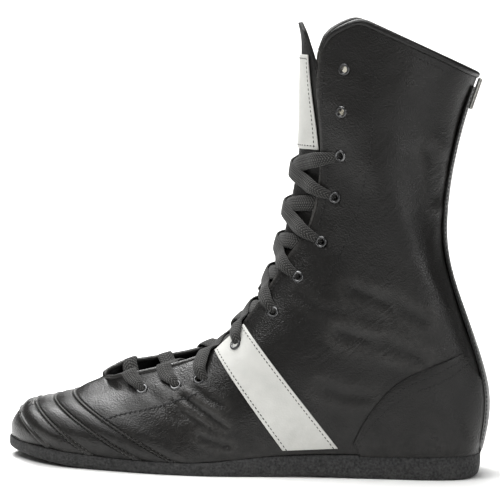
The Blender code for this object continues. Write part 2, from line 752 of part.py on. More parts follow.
def cut_eyelet_holes(items):
    """One cutter with a round pin at each eyelet, taken from the upper and the bands."""
    mesh = bpy.data.meshes.new("eyelet_holes")
    bm = bmesh.new()
    for side in SIDES.values():
        for eyelet in EYELETS:
            place, turn, _ = eyelet_frame(eyelet, side)
            bmesh.ops.create_cone(bm, cap_ends=True, segments=8, radius1=EYELET_HOLE / 2 * MM,
                                  radius2=EYELET_HOLE / 2 * MM, depth=9 * MM,
                                  matrix=Matrix.Translation(place) @ turn.to_matrix().to_4x4())
    bm.to_mesh(mesh)
    bm.free()
    cutter = bpy.data.objects.new("eyelet_holes", mesh)
    cutter.hide_render = True
    cutter.display_type = "WIRE"
    cutters.objects.link(cutter)
    for item in items:
        cut = item.modifiers.new("Eyelet holes", "BOOLEAN")
        cut.operation = "DIFFERENCE"
        cut.object = cutter


# Laces

LACE_OVER_FLAP = 1.35       # height of the lace's middle over the flap
LACE_OVER_EYELET = 1.4      # further height over an eyelet's flange
LACE_OVER_TONGUE = -1.6
LACE_UNDER_FLAP = -2.35
BAR_OVER_RIM = 0.6          # further height of the first bar over the throat's rim
LACE_CLIMB = 7.0            # distance over which the lace climbs onto a flap

# How far a strand rises from the eyelets' height to the middle of the throat, square to the instep.
LaceBow = namedtuple("LaceBow", "z rise")
LACE_BOW = [
    LaceBow(47.0, 4.6), LaceBow(60.0, 9.5), LaceBow(100.0, 10.0), LaceBow(140.0, 8.0),
    LaceBow(167.0, 4.0), LaceBow(192.0, 1.0),
]
STRAND_ON_TOP = 0.25        # how far the upper strand of a crossing lies above the other


def strand_mesh(name, start, end, over_both, over_band=0.0, on_top=0.0):
    """Flat strand from an eyelet on one side across to the other side's flap or eyelet.

    start is (half-width, height, side) and end is (half-width, height) on the other side."""
    start_half, start_z, side = start
    end_half, end_z = end
    count = 12
    middle, normals = [], []
    for i in range(count):
        share = i / (count - 1)
        across_y = -start_half + share * (start_half + end_half)
        half = abs(across_y)
        level = start_z + share * (end_z - start_z)
        u = front_section(level + interpolate(LACE_BOW, level) * (1.0 - (half / start_half) ** 2), half)
        t = t_at_half(u, half)
        gap = interpolate(THROAT, u)
        if across_y < 0.0 or over_both:
            rise = min(max((half - gap) / LACE_CLIMB + 1.1, 0.0), 1.0)
            over_flap = LACE_OVER_FLAP + over_band + upper_lift(u, t)
            lift = LACE_OVER_TONGUE + (over_flap - LACE_OVER_TONGUE) * rise * rise * (3 - 2 * rise)
            near_end = min(share, 1.0 - share if over_both else 1.0)
            lift += LACE_OVER_EYELET * min(1.0, max(0.0, 2.0 - near_end / 0.09))
        else:
            lift = LACE_OVER_TONGUE + (LACE_UNDER_FLAP - LACE_OVER_TONGUE) * (half / end_half) ** 2
        lift += on_top * max(0.0, 1.0 - half / gap)
        here = side if across_y < 0.0 else -side
        middle.append(skin(u, t, here, lift))
        normals.append(last_normal(u, t, here))
    rows = []
    for i in range(count):
        ahead = middle[min(i + 1, count - 1)] - middle[max(i - 1, 0)]
        wide = np.cross(normals[i], ahead)
        wide = wide / np.linalg.norm(wide) * LACE_WIDTH / 2
        thick = np.cross(ahead, wide)
        thick = thick / np.linalg.norm(thick) * LACE_THICKNESS / 2
        rows.append([middle[i] - wide - thick, middle[i] + wide - thick,
                     middle[i] + wide + thick, middle[i] - wide + thick])
    return grid_mesh(name, rows, closed=True)


def lace_dive_half(z):
    """Half-width, just inside the far flap's edge, where a strand goes under the flap."""
    half = 15.0
    for _ in range(8):
        half = interpolate(THROAT, front_section(z, half)) - 1.5
    return half


def make_laces():
    halves = [abs(last_point(*locate(e.x, e.z, LATERAL), LATERAL)[1]) for e in EYELETS]
    bar_end = (halves[0], EYELETS[0].z)
    bar = strand_mesh("lace_bar_01", (*bar_end, LATERAL), bar_end, over_both=True, over_band=BAR_OVER_RIM)
    add_object("lace_bar_01", bar, lace_cloth)
    for number in range(2, LACED):
        low, high = EYELETS[number - 1], EYELETS[number]
        start = (halves[number - 1], low.z)
        reaches_eyelet = number == LACED - 1
        end = (halves[number], high.z)
        if not reaches_eyelet:
            end_z = low.z + 0.78 * (high.z - low.z)
            end = (lace_dive_half(end_z), end_z)
        name = "lace_crossing_%02d" % number
        over_band = OVERLAY_GAP + OVERLAY if inside_band(low) or inside_band(high) else 0.0
        strands = [strand_mesh(name, (*start, side), end, reaches_eyelet, over_band, on_top)
                   for side, on_top in ((LATERAL, STRAND_ON_TOP), (MEDIAL, 0.0))]
        crossing = add_object(name, strands[0], lace_cloth)
        other = bpy.data.objects.new(name + "_strand", strands[1])
        other.hide_render = True
        other.display_type = "WIRE"
        cutters.objects.link(other)
        join = crossing.modifiers.new("Join strands", "BOOLEAN")
        join.operation = "UNION"
        join.object = other


# Assembly

clear_scene()
parts = new_collection("boxing_shoe")
cutters = new_collection("cutters")
shoe = bpy.data.objects.new("boxing_shoe", None)
parts.objects.link(shoe)

black_leather = make_material("black_leather", (0.022, 0.022, 0.024), 0.45)
white_leather = make_material("white_leather", (0.68, 0.67, 0.62), 0.5)
rubber = make_material("rubber", (0.035, 0.035, 0.037), 0.7)
lining = make_material("lining", (0.62, 0.60, 0.54), 0.9)
lace_cloth = make_material("lace_cloth", (0.03, 0.03, 0.033), 0.85)
eyelet_metal = make_material("eyelet_metal", (0.05, 0.05, 0.055), 0.3, 0.9)

upper_object = make_upper()
make_outsole()
make_insole()
make_tongue()
make_tongue_patch()
bands = [make_side_band(name, side) for name, side in SIDES.items()]
for counter_name, counter_side in SIDES.items():
    make_heel_counter(counter_name, counter_side)
make_backstay()
make_collar_binding()
make_pull_tab()
make_eyelets()
cut_eyelet_holes([upper_object] + bands)
make_laces()
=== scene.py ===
from math import cos, pi, radians, sin

import bmesh
import bpy
import numpy as np
from mathutils import Matrix, Vector, noise


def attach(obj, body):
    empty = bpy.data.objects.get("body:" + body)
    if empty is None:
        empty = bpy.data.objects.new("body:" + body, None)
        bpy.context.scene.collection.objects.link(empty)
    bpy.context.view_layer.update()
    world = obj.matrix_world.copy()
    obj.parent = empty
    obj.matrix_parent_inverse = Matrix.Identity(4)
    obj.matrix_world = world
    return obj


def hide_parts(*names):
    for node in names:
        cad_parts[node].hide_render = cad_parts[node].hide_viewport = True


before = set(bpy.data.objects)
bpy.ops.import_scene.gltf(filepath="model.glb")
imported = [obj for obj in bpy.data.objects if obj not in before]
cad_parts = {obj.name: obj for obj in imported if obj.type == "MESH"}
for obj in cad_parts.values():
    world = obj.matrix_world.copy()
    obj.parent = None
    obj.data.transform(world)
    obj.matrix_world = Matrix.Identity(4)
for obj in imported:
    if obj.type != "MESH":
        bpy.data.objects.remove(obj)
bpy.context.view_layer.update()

mm = 0.001
lateral, medial = -1.0, 1.0
sideNames = {"lateral": lateral, "medial": medial}
shoeMiddle = Vector((0.060, 0.0, 0.110))


# camera, light and floor

stage = {
    "cameraPlace": (0.0, -1.450, 0.290),
    "cameraAim": (0.0, 0.0, 0.1309),
    "cameraRoll": 2.10,
    "lens": 173.6,
    "sensor": 36.0,
    "farClip": 20.0,
    "floorColor": (0.90, 0.90, 0.89),
    "floorRoughness": 0.9,
    "worldColor": (1.0, 1.0, 1.0),
    "worldStrength": 0.12,
    "sheetSize": 4.0,
    "sheetRows": 60,
    # the sheet runs back flat to this y, then narrows and curves up
    "sheetBack": 1.75,
    "sheetCurve": 0.8,
    "sheetNarrow": 0.13,
    # name, place, aim, size, watts
    "lights": [
        ("overheadSoftbox", (-0.10, 0.15, 1.25), (0.0, 0.05, 0.0), 1.00, 24.0),
        ("keySoftbox", (-0.68, -0.62, 1.20), (-0.03, 0.0, 0.08), 0.55, 10.0),
        ("sheenSoftbox", (-0.40, 0.50, 0.95), (-0.04, 0.0, 0.05), 0.40, 9.0),
        ("sideSoftbox", (0.85, -1.00, 0.50), (0.06, 0.0, 0.12), 0.60, 6.0),
        ("backdropWash", (0.0, 1.30, 1.70), (0.0, 2.50, 0.50), 1.20, 60.0),
    ],
}


def aimAt(place, target, roll=0.0):
    turn = (Vector(target) - Vector(place)).to_track_quat("-Z", "Y").to_matrix().to_4x4()
    return Matrix.Translation(Vector(place)) @ turn @ Matrix.Rotation(radians(roll), 4, "Z")


def addObject(name, data):
    thing = bpy.data.objects.new(name, data)
    bpy.context.scene.collection.objects.link(thing)
    return thing


def addMesh(bm, name, materials):
    mesh = bpy.data.meshes.new(name)
    bm.to_mesh(mesh)
    bm.free()
    mesh.shade_smooth()
    for material in materials:
        mesh.materials.append(material)
    return addObject(name, mesh)


def buildCamera():
    camera = addObject("camera", bpy.data.cameras.new("camera"))
    camera.data.lens = stage["lens"]
    camera.data.sensor_width = stage["sensor"]
    camera.data.clip_end = stage["farClip"]
    camera.matrix_world = aimAt(stage["cameraPlace"], stage["cameraAim"], stage["cameraRoll"])
    bpy.context.scene.camera = camera


def buildLights():
    for name, place, target, size, watts in stage["lights"]:
        lamp = addObject(name, bpy.data.lights.new(name, "AREA"))
        lamp.data.size = size
        lamp.data.energy = watts
        lamp.matrix_world = aimAt(place, target)
    world = bpy.data.worlds.new("studio")
    world.use_nodes = True
    sky = world.node_tree.nodes["Background"].inputs
    sky["Color"].default_value = (*stage["worldColor"], 1.0)
    sky["Strength"].default_value = stage["worldStrength"]
    bpy.context.scene.world = world
    bpy.context.scene.view_settings.view_transform = "Standard"


def floorFinish():
    paper = bpy.data.materials.new("floorPaper")
    paper.use_nodes = True
    tree = paper.node_tree
    shader = tree.nodes["Principled BSDF"]
    shader.inputs["Base Color"].default_value = (*stage["floorColor"], 1.0)
    shader.inputs["Roughness"].default_value = stage["floorRoughness"]
    # clear from below, so that the tread can be looked at
    clear = tree.nodes.new("ShaderNodeBsdfTransparent")
    either = tree.nodes.new("ShaderNodeMixShader")
    behind = tree.nodes.new("ShaderNodeNewGeometry").outputs["Backfacing"]
    tree.links.new(behind, either.inputs["Fac"])
    tree.links.new(shader.outputs["BSDF"], either.inputs[1])
    tree.links.new(clear.outputs["BSDF"], either.inputs[2])
    tree.links.new(either.outputs["Shader"], tree.nodes["Material Output"].inputs["Surface"])
    return paper


def buildFloor():
    back, curve = stage["sheetBack"], stage["sheetCurve"]
    bm = bmesh.new()
    bmesh.ops.create_grid(bm, x_segments=1, y_segments=stage["sheetRows"], size=stage["sheetSize"])
    for vert in bm.verts:
        past = vert.co.y - back
        if past > 0.0:
            angle = min(past / curve, pi / 2.0)
            vert.co.x *= stage["sheetNarrow"]
            vert.co.y = back + curve * sin(angle)
            vert.co.z = curve * (1.0 - cos(angle)) + max(past - curve * pi / 2.0, 0.0)
    addMesh(bm, "floor", [floorFinish()])


buildCamera()
buildLights()
buildFloor()
print("stage ready")


# the last: slanted sections from the crown of the foot to its base, in millimetres

lastShape = {
    # crownX, crownZ, baseX, baseZ, half, at, baseHalf, mid, crownPower, basePower
    "sections": [
        (-142.0, 17.8, -141.5, 12.0, 0.0, 0.80, 0.0, 5.0, 2.2, 2.0),
        (-136.5, 28.6, -117.0, 10.7, 34.5, 0.84, 33.3, 5.5, 2.2, 2.0),
        (-127.0, 34.4, -91.5, 8.8, 42.2, 0.86, 41.0, 4.5, 2.2, 2.0),
        (-115.5, 37.2, -62.5, 7.8, 46.3, 0.87, 45.2, 3.0, 2.2, 2.0),
        (-104.0, 40.8, -41.5, 7.8, 47.3, 0.87, 46.2, 1.5, 2.2, 2.0),
        (-86.0, 46.2, -22.0, 8.4, 46.2, 0.86, 45.0, 0.0, 2.1, 2.0),
        (-65.0, 54.0, -4.0, 10.2, 43.8, 0.82, 42.3, -0.8, 2.2, 2.0),
        (-41.5, 62.2, 14.0, 12.2, 41.2, 0.76, 39.2, -1.2, 2.4, 2.0),
        (-19.0, 74.0, 36.0, 13.8, 39.4, 0.70, 36.6, -1.3, 2.6, 2.0),
        (-2.5, 93.5, 58.0, 14.4, 38.3, 0.64, 34.8, -1.0, 2.6, 2.1),
        (9.5, 117.0, 82.0, 14.4, 37.6, 0.58, 33.8, -0.5, 2.3, 2.3),
        (16.0, 140.0, 106.0, 14.8, 37.0, 0.54, 33.4, 0.0, 2.0, 2.6),
        (19.5, 160.0, 128.0, 15.4, 36.6, 0.52, 29.0, 0.0, 1.8, 2.8),
        (22.2, 178.0, 141.0, 15.5, 36.4, 0.51, 16.0, 0.0, 1.8, 2.9),
        (23.4, 192.5, 144.0, 16.0, 36.4, 0.50, 0.0, 0.0, 1.8, 3.0),
        (23.6, 207.0, 147.3, 38.0, 36.7, 0.50, 0.0, 0.0, 1.8, 2.9),
        (23.4, 221.0, 143.7, 63.0, 37.0, 0.50, 0.0, 0.0, 1.8, 2.7),
        (23.0, 234.0, 132.1, 94.0, 37.4, 0.50, 0.0, 0.0, 1.8, 2.5),
        (22.8, 245.5, 119.8, 128.0, 37.8, 0.50, 0.0, 0.0, 1.8, 2.4),
        (22.4, 256.0, 116.7, 158.0, 38.3, 0.50, 0.0, 0.0, 1.8, 2.3),
        (22.0, 265.5, 119.5, 189.0, 39.0, 0.50, 0.0, 0.0, 1.8, 2.3),
        (22.0, 277.0, 125.6, 219.0, 40.0, 0.50, 0.0, 0.0, 1.8, 2.3),
        (22.0, 286.0, 132.0, 240.5, 41.0, 0.50, 0.0, 0.0, 1.8, 2.3),
    ],
    "heelSeat": 14.0,
    "collar": 22.0,
    # section, half-width of the throat
    "throat": [(5.1, 0.0), (5.35, 9.5), (6.0, 14.5), (8.0, 15.0), (10.0, 17.5), (12.0, 21.0), (14.0, 22.5),
               (18.0, 23.8), (19.8, 26.0), (20.6, 29.5), (21.3, 34.0), (21.8, 37.0), (22.0, 38.3)],
    # x, z of the eyelets in the side view, toe to collar
    "eyelets": [(-61.5, 47.5), (-41.5, 51.5), (-27.5, 55.8), (-6.0, 76.2), (15.0, 97.3), (29.0, 118.8),
                (42.0, 140.2), (49.0, 167.0), (51.2, 192.0), (50.6, 218.0), (51.2, 243.0)],
    # small steps along and round the last, for slopes
    "alongStep": 0.01,
    "roundStep": 0.004,
}
heelSeat, collar, throatFront = lastShape["heelSeat"], lastShape["collar"], lastShape["throat"][0][0]


def naturalCurve(rows):
    values = np.array(rows, float)
    count = len(values)
    system = np.zeros((count, count))
    right = np.zeros_like(values)
    system[0, 0] = system[-1, -1] = 1.0
    for i in range(1, count - 1):
        system[i, i - 1:i + 2] = (1.0, 4.0, 1.0)
        right[i] = 6.0 * (values[i - 1] - 2.0 * values[i] + values[i + 1])
    return values, np.linalg.solve(system, right)


def curvePoint(curve, place):
    values, bends = curve
    place = np.clip(np.asarray(place, float), 0.0, len(values) - 1.0001)
    i = place.astype(int)
    f = (place - i)[..., None]
    g = 1.0 - f
    bend = (g ** 3 - g) * bends[i] + (f ** 3 - f) * bends[i + 1]
    return g * values[i] + f * values[i + 1] + bend / 6.0


def toeMirror(row):     # half-widths change sign through the toe tip, so the toe comes out round
    return row[:4] + (-row[4], row[5], -row[6]) + row[7:]


sections = lastShape["sections"]
lastCurve = naturalCurve([toeMirror(sections[2]), toeMirror(sections[1])] + sections)


def sectionAt(u):
    u = np.asarray(u, float)
    row = curvePoint(lastCurve, u + 2.0)
    before = heelSeat - 2.0
    row[..., 6] = np.where(u >= heelSeat, 0.0, row[..., 6])
    level = np.interp(u, [before, heelSeat], [sections[12][3], sections[14][3]])
    row[..., 3] = np.where((u > before) & (u < heelSeat), level, row[..., 3])
    return row


def sameShape(*values):
    return np.broadcast_arrays(*[np.asarray(value, float) for value in values])


def oval(value, power):     # one quarter of a rounded-off ellipse
    return np.clip(value, 0.0, 1.0) ** (2.0 / power)


def lastPoint(u, t, side):
    u, t, side = sameShape(u, t, side)
    rows = np.moveaxis(sectionAt(u), -1, 0)
    crownX, crownZ, baseX, baseZ, half, at, baseHalf, mid, crownPower, basePower = rows
    high = np.clip(t, 0.0, 0.5) * pi
    low = np.clip(t - 0.5, 0.0, 0.5) * pi
    crownAlong = at * (1.0 - oval(np.cos(high), crownPower))
    crownWide = half * oval(np.sin(high), crownPower)
    baseAlong = at + (1.0 - at) * oval(np.sin(low), basePower)
    baseWide = baseHalf + (half - baseHalf) * oval(np.cos(low), basePower)
    along = np.where(t <= 0.5, crownAlong, baseAlong)
    wide = np.where(t <= 0.5, crownWide, baseWide)
    x, z = crownX + along * (baseX - crownX), crownZ + along * (baseZ - crownZ)
    return np.stack([x, mid + side * wide, z], -1)


def unit(vectors):
    return vectors / np.maximum(np.linalg.norm(vectors, axis=-1, keepdims=True), 1e-9)


def lastNormal(u, t, side):
    u, t, side = sameShape(u, t, side)
    du, dt = lastShape["alongStep"], lastShape["roundStep"]
    alongU = lastPoint(np.minimum(u + du, collar), t, side) - lastPoint(np.maximum(u - du, 0.0), t, side)
    alongT = lastPoint(u, np.minimum(t + dt, 1.0), side) - lastPoint(u, np.maximum(t - dt, 0.0), side)
    return unit(np.cross(alongU, alongT) * side[..., None])


def skin(u, t, side, lift=0.0):
    lift = np.asarray(lift, float)
    return lastPoint(u, t, side) + lift[..., None] * lastNormal(u, t, side)


def tAtHalf(u, half):       # place on the crown side where a section is this wide
    row = sectionAt(u)
    share = np.clip(np.asarray(half, float) / np.maximum(row[..., 4], 0.001), 0.0, 1.0)
    return np.arcsin(share ** (row[..., 8] / 2.0)) / pi


def tAtBack(u, half):       # the same on the base side
    row = sectionAt(u)
    base = row[..., 6]
    share = np.clip((np.asarray(half, float) - base) / np.maximum(row[..., 4] - base, 0.001), 0.0, 1.0)
    return 0.5 + np.arccos(share ** (row[..., 9] / 2.0)) / pi


def tableAt(rows, place):
    return np.interp(place, *zip(*rows))


def throatHalf(u):
    return tableAt(lastShape["throat"], u)


def throatT(u):
    return np.where(np.asarray(u) <= throatFront, 0.0, tAtHalf(u, throatHalf(u)))


search = {"frontFirst": 3.0, "halvings": 30, "rounds": 14, "uStep": 0.01, "tStep": 0.001, "uMost": 0.5,
          "tMost": 0.08, "uRange": (0.05, 21.98), "tRange": (0.01, 0.995), "flat": 1e-6}
searchGrid = np.meshgrid(np.arange(0.5, collar, 0.25), np.arange(0.04, 0.99, 0.025))
searchU, searchT = [places.ravel() for places in searchGrid]


def frontSection(z, half):      # section whose crown side has this height where it is this wide
    z, half = sameShape(z, half)
    low, high = np.full(z.shape, search["frontFirst"]), np.full(z.shape, collar)
    for _ in range(search["halvings"]):
        u = (low + high) / 2.0
        below = lastPoint(u, tAtHalf(u, half), lateral)[..., 2] < z
        low = np.where(below, u, low)
        high = np.where(below, high, u)
    return (low + high) / 2.0


def locate(x, z, side):     # section and place on it at x, z in the side view
    x, z = np.atleast_1d(x), np.atleast_1d(z)
    known = lastPoint(searchU, searchT, side)
    best = ((known[:, 0] - x[:, None]) ** 2 + (known[:, 2] - z[:, None]) ** 2).argmin(1)
    u, t = searchU[best], searchT[best]
    for _ in range(search["rounds"]):
        p = lastPoint(u, t, side)
        alongU = (lastPoint(u + search["uStep"], t, side) - p) / search["uStep"]
        alongT = (lastPoint(u, t + search["tStep"], side) - p) / search["tStep"]
        spread = alongU[:, 0] * alongT[:, 2] - alongU[:, 2] * alongT[:, 0]
        spread = np.where(np.abs(spread) < search["flat"], search["flat"], spread)
        dx, dz = x - p[:, 0], z - p[:, 2]
        uMove = (dx * alongT[:, 2] - dz * alongT[:, 0]) / spread
        tMove = (alongU[:, 0] * dz - alongU[:, 2] * dx) / spread
        u = np.clip(u + np.clip(uMove, -search["uMost"], search["uMost"]), *search["uRange"])
        t = np.clip(t + np.clip(tMove, -search["tMost"], search["tMost"]), *search["tRange"])
    return u, t


# mesh helpers

meshLook = {"weld": 0.000008, "sliver": 0.000004, "edgeSegments": 2, "edgeAngle": 50.0}


def stepAt(share, count):
    return np.rint(share * (count - 1)).astype(int)


def mappedGrid(bm, aCount, bCount, place, uvScale=(1.0, 1.0)):
    uv = bm.loops.layers.uv.get("map") or bm.loops.layers.uv.new("map")
    known = set(bm.faces)
    verts = bmesh.ops.create_grid(bm, x_segments=aCount, y_segments=bCount, size=0.5)["verts"]
    ab = np.array([v.co[:2] for v in verts]) + 0.5
    for face in bm.faces:
        if face not in known:
            for loop in face.loops:
                loop[uv].uv = ((loop.vert.co.x + 0.5) * uvScale[0], (loop.vert.co.y + 0.5) * uvScale[1])
    for vert, point in zip(verts, place(ab[:, 0], ab[:, 1]) * mm):
        vert.co = point
    return verts, ab


def sweep(bm, path, normals, width, thick, ring=10, power=0.75, closed=False, uvLength=8.4):
    # flat or round strand along a path, with its broad side square to the normals
    count = len(path)
    if closed:
        ahead = unit(np.roll(path, -1, 0) - np.roll(path, 1, 0))
    else:
        ahead = unit(np.gradient(path, axis=0))
    across = unit(np.cross(normals, ahead))
    up = unit(np.cross(ahead, across))
    width, thick = np.broadcast_to(width, (count,)), np.broadcast_to(thick, (count,))
    length = np.linalg.norm(np.diff(path, axis=0), axis=1).sum()
    steps = count if closed else count - 1

    def place(a, b):
        i = stepAt(a, steps + 1) % count
        c, s = np.cos(2.0 * pi * b), np.sin(2.0 * pi * b)
        wide = np.sign(c) * np.abs(c) ** power * width[i] / 2.0
        high = np.sign(s) * np.abs(s) ** power * thick[i] / 2.0
        return path[i] + wide[:, None] * across[i] + high[:, None] * up[i]

    verts, _ = mappedGrid(bm, steps, ring, place, (length / uvLength, 1.0))
    bmesh.ops.remove_doubles(bm, verts=verts, dist=meshLook["weld"])
    if not closed:
        bmesh.ops.holes_fill(bm, edges=[e for e in bm.edges if e.is_boundary], sides=0)


def addPiece(bm, name, materials, slot, replaced=()):
    piece = addMesh(bm, name, materials)
    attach(piece, "root")
    if replaced:
        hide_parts(*replaced)
    print("piece", name, len(piece.data.polygons))
    return piece


def cleanMesh(bm):
    bmesh.ops.remove_doubles(bm, verts=bm.verts, dist=meshLook["weld"])
    bmesh.ops.dissolve_degenerate(bm, edges=bm.edges, dist=meshLook["sliver"])
    bmesh.ops.recalc_face_normals(bm, faces=bm.faces)


def addClosed(bm, *details):
    cleanMesh(bm)
    addPiece(bm, *details)


def addSheet(bm, *details):     # an open sheet, its faces turned away from the middle of the shoe
    cleanMesh(bm)
    outward = sum((f.calc_center_median() - shoeMiddle).dot(f.normal) * f.calc_area() for f in bm.faces)
    if outward < 0.0:
        bmesh.ops.reverse_faces(bm, faces=bm.faces)
    return addPiece(bm, *details)


def addWall(piece, thickness, outward, inner=0):
    wall = piece.modifiers.new("wall", "SOLIDIFY")
    wall.thickness = thickness * mm
    wall.offset = 1.0 if outward else -1.0
    wall.use_even_offset = True
    wall.material_offset = inner


def addRoundEdge(piece, width):
    edge = piece.modifiers.new("roundEdge", "BEVEL")
    edge.width = width * mm
    edge.segments = meshLook["edgeSegments"]
    edge.limit_method = "ANGLE"
    edge.angle_limit = radians(meshLook["edgeAngle"])


def addOverlay(bm, name, material, slot, node, look):
    piece = addSheet(bm, name, [material], slot, [node])
    addWall(piece, look["thick"], outward=True)
    addRoundEdge(piece, look["roundEdge"])


def stamp(pattern, moves):      # the pattern laid at every matrix, in one mesh
    shape = bpy.data.meshes.new("pattern")
    pattern.to_mesh(shape)
    pattern.free()
    bm = bmesh.new()
    for move in moves:
        shape.transform(move)
        bm.from_mesh(shape)
        shape.transform(move.inverted())
    bpy.data.meshes.remove(shape)
    return bm


# one wear value for a whole piece: real wear on the throat rim, a painted highlight on the flap edges
def setWearAndSheen(bm, worn):
    layer = bm.verts.layers.float.new("wear")
    for vert in bm.verts:
        vert[layer] = worn


def relax(points, rounds):
    for _ in range(rounds):
        points[1:-1] = 0.25 * points[:-2] + 0.5 * points[1:-1] + 0.25 * points[2:]
    return points


def resample(path, pitch):
    reach = np.concatenate([[0.0], np.cumsum(np.linalg.norm(np.diff(path, axis=0), axis=1))])
    count = max(int(round(reach[-1] / pitch)), 2)
    marks = np.linspace(0.0, reach[-1], count + 1)
    return np.stack([np.interp(marks, reach, column) for column in path.T], -1)


# shader groups and materials

def feed(tree, socket, value):      # a plain value, or a link from another node
    if isinstance(value, bpy.types.NodeSocket):
        tree.links.new(value, socket)
    elif socket.type == "RGBA":
        socket.default_value = (*value, 1.0)
    else:
        socket.default_value = value


def addNode(tree, kind, values=None, **options):
    node = tree.nodes.new(kind)
    for name, value in options.items():
        setattr(node, name, value)
    for name, value in (values or {}).items():
        feed(tree, node.inputs[name], value)
    return node


def addMath(tree, operation, *values):
    return addNode(tree, "ShaderNodeMath", dict(enumerate(values)), operation=operation).outputs[0]


def addRange(tree, value, fromMin, fromMax, toMin, toMax):
    values = {0: value, 1: fromMin, 2: fromMax, 3: toMin, 4: toMax}
    return addNode(tree, "ShaderNodeMapRange", values).outputs[0]


def addMix(tree, factor, first, second):
    return addNode(tree, "ShaderNodeMix", {0: factor, 6: first, 7: second}, data_type="RGBA").outputs[2]


def addNoise(tree, where, scale, detail, roughness):
    values = {"Vector": where, "Scale": scale, "Detail": detail, "Roughness": roughness}
    return addNode(tree, "ShaderNodeTexNoise", values).outputs["Fac"]


def weighted(tree, first, firstShare, second, secondShare):
    return addMath(tree, "ADD", addMath(tree, "MULTIPLY", first, firstShare),
                   addMath(tree, "MULTIPLY", second, secondShare))


def splitPlace(tree, where):
    return addNode(tree, "ShaderNodeSeparateXYZ", {0: where}).outputs


def objectPlace(tree):
    return addNode(tree, "ShaderNodeTexCoord").outputs["Object"]


def newGroup(name, inputs, outputs):
    group = bpy.data.node_groups.new(name, "ShaderNodeTree")
    for way, sockets in (("INPUT", inputs), ("OUTPUT", outputs)):
        for label, kind in sockets.items():
            group.interface.new_socket(label, in_out=way, socket_type="NodeSocket" + kind)
    return group, group.nodes.new("NodeGroupInput").outputs, group.nodes.new("NodeGroupOutput").inputs


def buildGrainGroup():      # hide grain: small cells, fine pores and broad patches
    group, start, end = newGroup("hideGrain", {"Vector": "Vector", "Cells": "Float", "Patches": "Float"},
                                 {"Height": "Float", "Patch": "Float"})
    where, scale = start["Vector"], start["Cells"]
    cells = addNode(group, "ShaderNodeTexVoronoi", {"Vector": where, "Scale": scale, "Smoothness": 0.6},
                    feature="SMOOTH_F1").outputs["Distance"]
    pores = addNoise(group, where, addMath(group, "MULTIPLY", scale, 0.55), 3.0, 0.6)
    patches = addNoise(group, where, start["Patches"], 2.5, 0.55)
    feed(group, end["Height"], weighted(group, cells, 0.6, pores, 0.5))
    feed(group, end["Patch"], addRange(group, patches, 0.30, 0.70, 0.0, 1.0))
    return group


def buildWearAndSheenGroup():       # rubbed places and painted highlights: the piece's own wear value, which also paints the highlights on fold crests and flap edges, broken up by noise
    group, start, end = newGroup("rubbedWearAndSheen",
                                 {"Vector": "Vector", "Wear": "Float", "Color": "Color", "Worn": "Color"},
                                 {"Color": "Color", "Mask": "Float"})
    breakup = addRange(group, addNoise(group, start["Vector"], 420.0, 3.0, 0.6), 0.3, 0.65, 0.25, 1.0)
    mask = addMath(group, "MULTIPLY", start["Wear"], breakup)
    feed(group, end["Color"], addMix(group, mask, start["Color"], start["Worn"]))
    feed(group, end["Mask"], mask)
    return group


def buildDustGroup():       # pale dust that gathers low down
    group, start, end = newGroup("floorDust",
                                 {"Vector": "Vector", "Reach": "Float", "Color": "Color", "Dust": "Color",
                                  "Amount": "Float"},
                                 {"Color": "Color", "Mask": "Float"})
    specks = addRange(group, addNoise(group, start["Vector"], 260.0, 4.0, 0.65), 0.40, 0.68, 0.0, 1.0)
    rise = addMath(group, "DIVIDE", splitPlace(group, start["Vector"])["Z"], start["Reach"])
    low = addMath(group, "MAXIMUM", addMath(group, "SUBTRACT", 1.0, rise), 0.0)
    mask = addMath(group, "MULTIPLY", addMath(group, "MULTIPLY", low, specks), start["Amount"])
    feed(group, end["Color"], addMix(group, mask, start["Color"], start["Dust"]))
    feed(group, end["Mask"], mask)
    return group


hideGrain, rubbedWearAndSheen, floorDust = buildGrainGroup(), buildWearAndSheenGroup(), buildDustGroup()


def newFinish(name, roughness=0.5, metallic=0.0, specular=0.5):
    material = bpy.data.materials.new(name)
    material.use_nodes = True
    shader = material.node_tree.nodes["Principled BSDF"].inputs
    shader["Roughness"].default_value = roughness
    shader["Metallic"].default_value = metallic
    shader["Specular IOR Level"].default_value = specular
    return material, material.node_tree, shader


def placeGroup(tree, group, **values):
    return addNode(tree, "ShaderNodeGroup", values, node_tree=group).outputs


def addBump(tree, shader, height, strength, distance):
    bump = addNode(tree, "ShaderNodeBump", {"Height": height, "Strength": strength, "Distance": distance})
    feed(tree, shader["Normal"], bump.outputs["Normal"])


leatherLook = {
    "black": {"dark": (0.0050, 0.0047, 0.0044), "light": (0.0100, 0.0095, 0.0090),
              # worn: the lighter tone of rubbed places, also used for the painted highlights on fold crests
              # and flap edges
              "worn": (0.055, 0.053, 0.050), "dust": (0.16, 0.15, 0.14), "dustAmount": 0.08,
              "cells": 1150.0, "patches": 42.0, "creases": 0.50, "smooth": 0.26, "rough": 0.43,
              "specular": 0.25, "bump": 0.60},
    "white": {"dark": (0.42, 0.42, 0.40), "light": (0.50, 0.50, 0.475),
              "worn": (0.32, 0.31, 0.28), "dust": (0.28, 0.265, 0.23), "dustAmount": 0.30,
              "cells": 900.0, "patches": 60.0, "creases": 0.0, "smooth": 0.42, "rough": 0.58,
              "specular": 0.45, "bump": 0.22},
    "dustReach": 0.045,
    "dustRoughness": 0.3,
    "creaseTurn": -0.75,
    "creaseSize": (0.032, 0.016, 0.008),
    "creaseWidth": 0.16,
    "bumpDepth": 0.0005,
}


